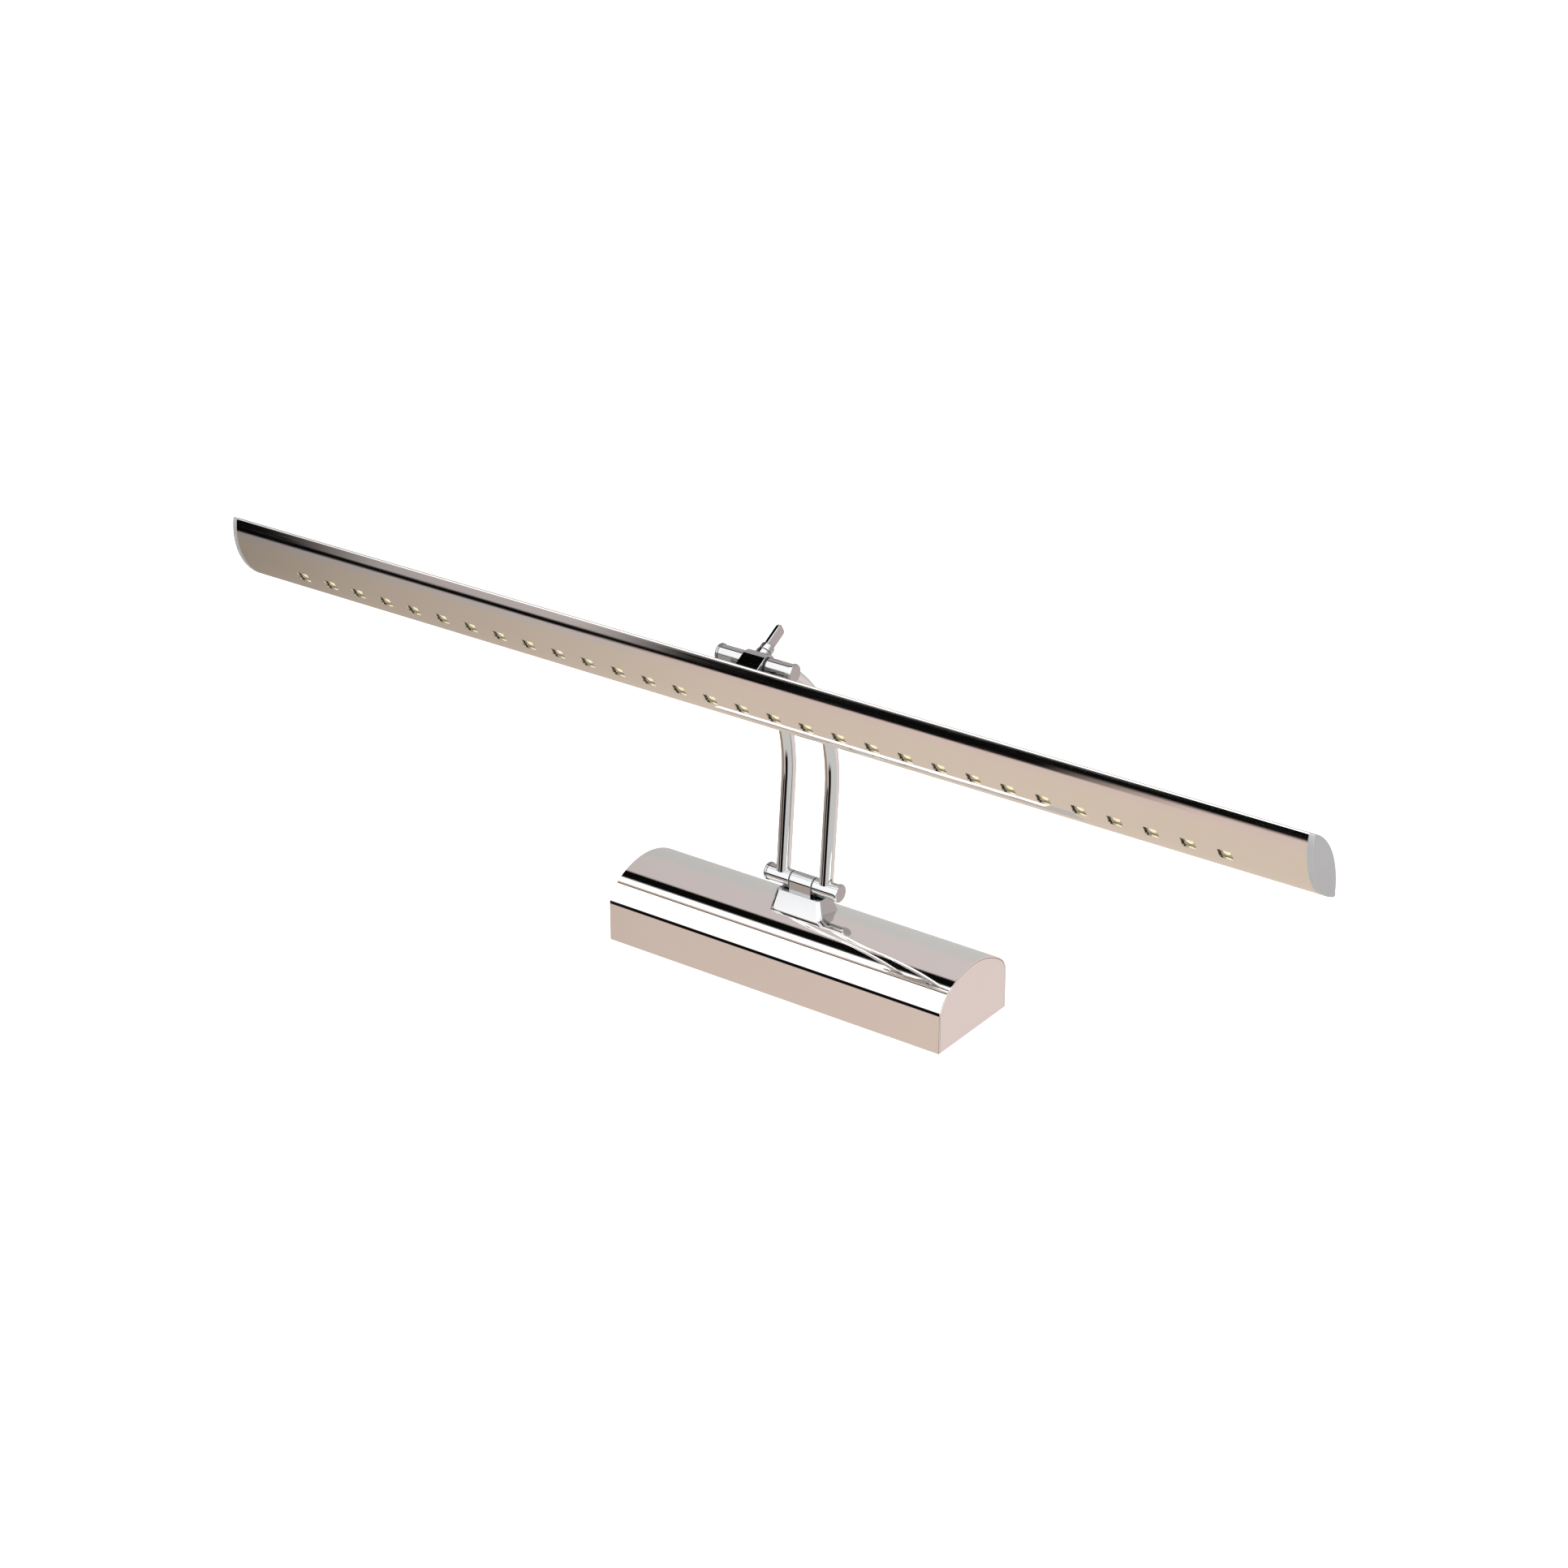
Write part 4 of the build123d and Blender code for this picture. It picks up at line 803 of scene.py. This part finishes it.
face_radius = arc_radius(FACE_BULGE)
back_radius = arc_radius(BACK_BULGE)
face_centre = face_radius - FACE_BULGE
back_centre = BACK_BULGE - back_radius
inner_face = face_radius - EDGE_RADIUS
inner_back = back_radius - EDGE_RADIUS
corner_z = (inner_back**2 - inner_face**2 + face_centre**2 - back_centre**2) / (
    2 * (face_centre - back_centre)
)
corner_y = math.sqrt(inner_face**2 - (corner_z - face_centre) ** 2)
face_half_turn = math.degrees(math.atan2(corner_y, face_centre - corner_z))
back_half_turn = math.degrees(math.atan2(corner_y, corner_z - back_centre))
seam_angle = math.degrees(math.asin(-corner_z / EDGE_RADIUS))
seam_y = corner_y + EDGE_RADIUS * math.cos(math.radians(seam_angle))
print("edge centre", round(corner_y / MM, 2), round(corner_z / MM, 2), "seam at", round(seam_y / MM, 2))


def over_face(bm, ends):
    """From the lower seam over the face to the upper seam."""
    corner_turn = 90 - face_half_turn + seam_angle
    ends = turned(bm, ends, (0, corner_y, corner_z), -corner_turn, 8)
    ends = turned(bm, ends, (0, 0, face_centre), -2 * face_half_turn, 32)
    turned(bm, ends, (0, -corner_y, corner_z), -corner_turn, 8)


def over_back(bm, ends):
    """From the lower seam over the back to the upper seam."""
    corner_turn = 90 - back_half_turn - seam_angle
    ends = turned(bm, ends, (0, corner_y, corner_z), corner_turn, 8)
    ends = turned(bm, ends, (0, 0, back_centre), 2 * back_half_turn, 28)
    turned(bm, ends, (0, -corner_y, corner_z), corner_turn, 8)


# %% [markdown]
# ## Face plate
# The windows are cut as a maker would mark them out: planes through every window edge slice the
# curved sheet, and the small faces inside the windows are taken away before the sheet gets its
# thickness.

# %% Face plate
LED_COUNT = 30
LED_SIZE = 5.0 * MM
WINDOW_LENGTH = 6.4 * MM
WINDOW_WIDTH = 5.2 * MM
WINDOW_CORNER = 0.5 * MM

led_low, led_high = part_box("led_chips")
led_pitch = (led_high.x - led_low.x - LED_SIZE) / (LED_COUNT - 1)
led_places = [(number - (LED_COUNT - 1) / 2) * led_pitch for number in range(LED_COUNT)]
body_low, body_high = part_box("head_face_plate")


def sliced(bm, place, normal):
    """Cuts every face along a plane and keeps both sides."""
    everything = [*bm.verts, *bm.edges, *bm.faces]
    bmesh.ops.bisect_plane(bm, geom=everything, plane_co=place, plane_no=normal, dist=MERGE / 10)


def in_a_window(point):
    """Whether a point of the face lies inside one of the windows."""
    nearest = min(abs(point.x - place) for place in led_places)
    return nearest < WINDOW_LENGTH / 2 and abs(point.y) < WINDOW_WIDTH / 2


bm = bmesh.new()
over_face(bm, edge_along(bm, body_low.x, body_high.x, seam_y, 0))
for place in led_places:
    for side in (-1, 1):
        sliced(bm, (place + side * WINDOW_LENGTH / 2, 0, 0), ALONG)
for side in (-1, 1):
    sliced(bm, (0, side * WINDOW_WIDTH / 2, 0), (0, 1, 0))
openings = [face for face in bm.faces if in_a_window(face.calc_center_median())]
bmesh.ops.delete(bm, geom=openings, context="FACES")
bmesh.ops.recalc_face_normals(bm, faces=bm.faces)
given_a_wall(bm, HEAD_SHEET)
window_corners = [
    edge
    for edge in sharp_edges(bm)
    if abs(edge.verts[0].co.y) < WINDOW_WIDTH
    and abs(edge.verts[0].co.z - edge.verts[1].co.z) > HEAD_SHEET / 2
]
rounded(bm, window_corners, WINDOW_CORNER, 3)
bmesh.ops.transform(bm, matrix=oval_frame, verts=bm.verts)
finished("face_shell", bm, head_steel, "head", "polished_steel", "head_face_plate")
print("windows", len(led_places), "pitch", round(led_pitch / MM, 2), "mm, corners", len(window_corners))

# %% Back shell
bm = bmesh.new()
over_back(bm, edge_along(bm, body_low.x, body_high.x, seam_y, 0))
bmesh.ops.recalc_face_normals(bm, faces=bm.faces)
given_a_wall(bm, HEAD_SHEET)
bmesh.ops.transform(bm, matrix=oval_frame, verts=bm.verts)
finished("back_shell", bm, head_steel, "head", "polished_steel", "head_back_shell")

# %% [markdown]
# ## Head end caps
# A satin cap closes each end: a flange that carries on the oval, and a hollow plug that pushes
# into the shells. A scaled inset and extrusions make the plug from the flange's inner face.

# %% Head end caps
PLUG_LENGTH = 8.0 * MM
PLUG_SHARE = 0.87  # of the oval, clear of the shells' inner skins
PLUG_BORE_SHARE = 0.78  # of the plug
HAIR = 0.02 * MM
FLANGE_RIM = 0.4 * MM


def pushed(bm, faces, offset):
    """Extrudes a face and moves it on, without keeping the old one."""
    made = bmesh.ops.extrude_face_region(bm, geom=faces)["geom"]
    moved = [item for item in made if isinstance(item, bmesh.types.BMVert)]
    bmesh.ops.translate(bm, verts=moved, vec=offset)
    bmesh.ops.delete(bm, geom=faces, context="FACES")
    return [item for item in made if isinstance(item, bmesh.types.BMFace)]


def shrunk(bm, faces, share):
    """Insets a face by a hair, then scales it about the oval's middle: corners stay clean."""
    bmesh.ops.inset_region(bm, faces=faces, thickness=HAIR)
    corners = list({vertex for face in faces for vertex in face.verts})
    bmesh.ops.scale(bm, verts=corners, vec=(1, share, share))


for side, label in ((-1, "left"), (1, "right")):
    node = "head_end_cap_" + label
    low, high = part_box(node)
    outer_x = max(low.x, high.x, key=lambda x: x * side)
    inner_x = side * body_high.x
    bm = bmesh.new()
    start = [bm.verts.new((inner_x, seam_y, 0))]
    over_face(bm, start)
    over_back(bm, start)
    bmesh.ops.remove_doubles(bm, verts=bm.verts, dist=MERGE)
    inner = closed_face(bm)
    thickened(bm, inner, ALONG * (outer_x - inner_x))
    outer_rim = [
        edge
        for edge in sharp_edges(bm)
        if all(abs(vertex.co.x - outer_x) < MERGE for vertex in edge.verts)
    ]
    rounded(bm, outer_rim, FLANGE_RIM, 4)
    inner = [max(bm.faces, key=lambda face: -side * face.calc_center_median().x)]
    shrunk(bm, inner, PLUG_SHARE)
    inner = pushed(bm, inner, ALONG * -side * PLUG_LENGTH)
    shrunk(bm, inner, PLUG_BORE_SHARE)
    pushed(bm, inner, ALONG * side * PLUG_LENGTH)
    bmesh.ops.recalc_face_normals(bm, faces=bm.faces)
    bmesh.ops.transform(bm, matrix=oval_frame, verts=bm.verts)
    finished("oval_cap_" + label, bm, cap_satin, "head", "end_cap_satin", node)

# %% [markdown]
# ## LEDs
# Each LED is a frame with a round well of pale yellow phosphor, and the frame's dark olive is painted
# shade of the recessed window round it. One is modelled with a bridge between a square and a circle,
# and the others are duplicates along the board.

# %% LED chips
LED_THICKNESS = 1.6 * MM
LED_RECESS = 1.1 * MM  # from the face's apex to the chip's front
WELL_RADIUS = 2.0 * MM
WELL_DEPTH = 0.3 * MM
# Slot 0 is the chip frame, coloured dark olive as painted shade of the recess; slot 1 is the phosphor.
FRAME_SHADE_COAT, PHOSPHOR_COAT = 0, 1

# The frame's dark olive is painted shade, standing in for the shadow inside each recessed window.
led_frame_painted_shade = moulded("led_frame_painted_shade", (0.24, 0.20, 0.12), (0.20, 0.165, 0.10), 0.35)
phosphor = moulded("led_phosphor_gel", (0.64, 0.57, 0.38), (0.59, 0.52, 0.33), 0.3, 0.3)

bm = bmesh.new()
bmesh.ops.create_grid(bm, x_segments=1, y_segments=1, size=LED_SIZE / 2)
bmesh.ops.delete(bm, geom=bm.faces[:], context="FACES_ONLY")
bmesh.ops.subdivide_edges(bm, edges=bm.edges, cuts=5)
outer_loop = bm.edges[:]
bmesh.ops.create_circle(bm, cap_ends=False, radius=WELL_RADIUS, segments=24)
well_loop = [edge for edge in bm.edges if edge not in outer_loop]
bmesh.ops.bridge_loops(bm, edges=bm.edges[:])
back = bmesh.ops.extrude_edge_only(bm, edges=outer_loop)["geom"]
back_corners = [item for item in back if isinstance(item, bmesh.types.BMVert)]
back_edges = [item for item in back if isinstance(item, bmesh.types.BMEdge)]
bmesh.ops.translate(bm, verts=back_corners, vec=UP * LED_THICKNESS)
bmesh.ops.edgeloop_fill(bm, edges=back_edges, mat_nr=FRAME_SHADE_COAT)
floor_ring = bmesh.ops.extrude_edge_only(bm, edges=well_loop)["geom"]
ring_corners = [item for item in floor_ring if isinstance(item, bmesh.types.BMVert)]
ring_edges = [item for item in floor_ring if isinstance(item, bmesh.types.BMEdge)]
bmesh.ops.translate(bm, verts=ring_corners, vec=UP * WELL_DEPTH)
gel = bmesh.ops.edgeloop_fill(bm, edges=ring_edges, mat_nr=PHOSPHOR_COAT)["faces"]
bmesh.ops.poke(bm, faces=gel, offset=-WELL_DEPTH / 2)
bmesh.ops.recalc_face_normals(bm, faces=bm.faces)
bmesh.ops.translate(bm, verts=bm.verts, vec=(0, 0, LED_RECESS - FACE_BULGE))
first_chip = [*bm.verts, *bm.edges, *bm.faces]
first_points = list(bm.verts)
for place in led_places[1:]:
    copy = bmesh.ops.duplicate(bm, geom=first_chip)["geom"]
    points = [item for item in copy if isinstance(item, bmesh.types.BMVert)]
    bmesh.ops.translate(bm, verts=points, vec=ALONG * place)
bmesh.ops.translate(bm, verts=first_points, vec=ALONG * led_places[0])
bmesh.ops.transform(bm, matrix=oval_frame, verts=bm.verts)
finished("led_row", bm, (led_frame_painted_shade, phosphor), "head", "led_phosphor", "led_chips")

# %% [markdown]
# ## Head knuckle
# A pad on the head's back carries the eye of the upper hinge and the boss for the thumb screw.
# The pad's underside is laid on the back shell's arc in the same way as the foot on the crown.

# %% Head knuckle
PAD_LENGTH = 28.0 * MM
PAD_WIDTH = 15.0 * MM
PAD_CORNER = 3.0 * MM
PAD_THICKNESS = 2.2 * MM
EYE_RADIUS = 4.8 * MM
BOSS_RADIUS = 3.5 * MM
BOSS_HEIGHT = 5.8 * MM
PAD_RIM = 0.4 * MM
PAD_WEB_OVERLAP = 0.5 * MM
BOSS_RIM = 0.3 * MM
ORIGIN = Vector((0, 0, 0))

pad_top = BACK_BULGE - HEAD_STANDOFF + PAD_THICKNESS
pad_bottom = pad_top - 2 * PAD_THICKNESS
pad = bmesh.new()
outline = rounded_face(pad, PAD_LENGTH, PAD_WIDTH, PAD_CORNER, pad_bottom)
thickened(pad, outline, UP * (pad_top - pad_bottom))
pad_rim = [edge for edge in sharp_edges(pad) if min(v.co.z for v in edge.verts) > pad_top - MERGE]
rounded(pad, pad_rim, PAD_RIM)
laid_on_arc(pad, pad_bottom, -HEAD_RAISE, back_centre - HEAD_STANDOFF, back_radius)

eye = bmesh.new()
eye_profile(eye, -KNUCKLE_HALF, pad_top - PAD_WEB_OVERLAP, ORIGIN, EYE_RADIUS)
thickened(eye, closed_face(eye), ALONG * 2 * KNUCKLE_HALF)
rounded(eye, sharp_edges(eye), EYE_RIM)

boss = bmesh.new()
profile = [(0, 0, 0), (BOSS_RADIUS, 0, 0), (BOSS_RADIUS, 0, BOSS_HEIGHT), (0, 0, BOSS_HEIGHT)]
lathed(boss, profile, ORIGIN, UP)
rounded(boss, sharp_edges(boss), BOSS_RIM)
bm = joined(pad, eye, boss)
bmesh.ops.transform(bm, matrix=head_frame, verts=bm.verts)
finished("knuckle_and_pad", bm, hinge_chrome, "head", "polished_steel", "head_knuckle")

# %% [markdown]
# ## Thumb screw
# A small wing screw presses on the hinge pin and holds the head's angle. The collar and shank are
# turned, and the wing is a flat slab with rounded corners that is cut off at the collar.

# %% Thumb screw
SHANK_RADIUS = 1.5 * MM
SHANK_TIP = 2.2 * MM
COLLAR_RADIUS = 3.1 * MM
COLLAR_BOTTOM = 6.2 * MM
COLLAR_TOP = 9.8 * MM
COLLAR_CHAMFER = 0.8 * MM
WING_WIDTH = 5.8 * MM
WING_LENGTH = 10.2 * MM
WING_THICKNESS = 2.0 * MM
WING_CORNER = 1.6 * MM
COLLAR_EDGE = 0.2 * MM
WING_EDGE = 0.45 * MM

profile = (
    (0, SHANK_TIP),
    (SHANK_RADIUS, SHANK_TIP),
    (SHANK_RADIUS, COLLAR_BOTTOM),
    (COLLAR_RADIUS, COLLAR_BOTTOM),
    (COLLAR_RADIUS, COLLAR_TOP - COLLAR_CHAMFER),
    (COLLAR_RADIUS - COLLAR_CHAMFER, COLLAR_TOP),
    (0, COLLAR_TOP),
)
collar = bmesh.new()
lathed(collar, [(radius, 0, height) for radius, height in profile], ORIGIN, UP)
rounded(collar, sharp_edges(collar), COLLAR_EDGE, 2)

wing = bmesh.new()
rounded_face(wing, WING_WIDTH, 2 * WING_LENGTH, WING_CORNER, 0)
bmesh.ops.rotate(wing, verts=wing.verts, cent=ORIGIN, matrix=Matrix.Rotation(math.radians(90), 3, "X"))
bmesh.ops.translate(wing, verts=wing.verts, vec=(0, -WING_THICKNESS / 2, COLLAR_TOP))
bmesh.ops.bisect_plane(
    wing,
    geom=[*wing.verts, *wing.edges, *wing.faces],
    plane_co=UP * COLLAR_BOTTOM,
    plane_no=-UP,
    clear_outer=True,
)
thickened(wing, wing.faces[:], (0, WING_THICKNESS, 0))
bmesh.ops.rotate(wing, verts=wing.verts, cent=ORIGIN, matrix=Matrix.Rotation(math.radians(90), 3, "Z"))
rounded(wing, sharp_edges(wing), WING_EDGE)
bm = joined(collar, wing)
bmesh.ops.transform(bm, matrix=head_frame, verts=bm.verts)
finished("wing_screw", bm, hinge_chrome, "thumb", "polished_steel", "thumb_screw")

# %% [markdown]
# ## Pieces that stay as they are
# The wall plate, the driver, the terminals, the leads, the hinge pins and the screws sit in the
# base, the arm or the head. Their meshes already have the right shape, so each only gets a finish
# for its material.

# %% Finishes for the model's own pieces
inner_finishes = {
    "plated_steel": satin("zinc_plate", (0.66, 0.67, 0.69), (0.56, 0.57, 0.60), 0.3),
    "grommet_rubber": moulded("grommet_rubber", (0.02, 0.02, 0.02), (0.035, 0.035, 0.035), 0.75, 0.3),
    "driver_plastic": moulded("driver_casing", (0.80, 0.80, 0.78), (0.74, 0.74, 0.72), 0.55, 0.3),
    "circuit_board": moulded("solder_mask_green", (0.03, 0.20, 0.08), (0.02, 0.16, 0.06), 0.35),
    "component_case": moulded("component_case", (0.05, 0.05, 0.06), (0.08, 0.08, 0.09), 0.35),
    "terminal_plastic": moulded("terminal_nylon", (0.82, 0.82, 0.79), (0.76, 0.76, 0.73), 0.45, 0.2),
    "terminal_brass": satin("turned_brass", (0.76, 0.60, 0.28), (0.68, 0.52, 0.22), 0.25),
    "mains_insulation": moulded("mains_sleeve", (0.16, 0.08, 0.04), (0.12, 0.06, 0.03), 0.35),
    "earth_insulation": moulded("earth_sleeve", (0.30, 0.46, 0.06), (0.62, 0.60, 0.05), 0.35),
    "lead_insulation": moulded("lead_sleeve", (0.70, 0.70, 0.68), (0.62, 0.62, 0.60), 0.4),
    "rail_aluminium": satin("mill_aluminium", (0.76, 0.77, 0.78), (0.68, 0.69, 0.70), 0.35),
    "board_white": moulded("board_white_mask", (0.80, 0.80, 0.76), (0.76, 0.76, 0.72), 0.4),
}
kept = [node for node in frame["nodes"].values() if not node.hide_render]
for node in kept:
    node.material_slots[0].material = inner_finishes[node.material_slots[0].material.name.split(".")[0]]
print("kept nodes", sorted(node.name for node in kept))
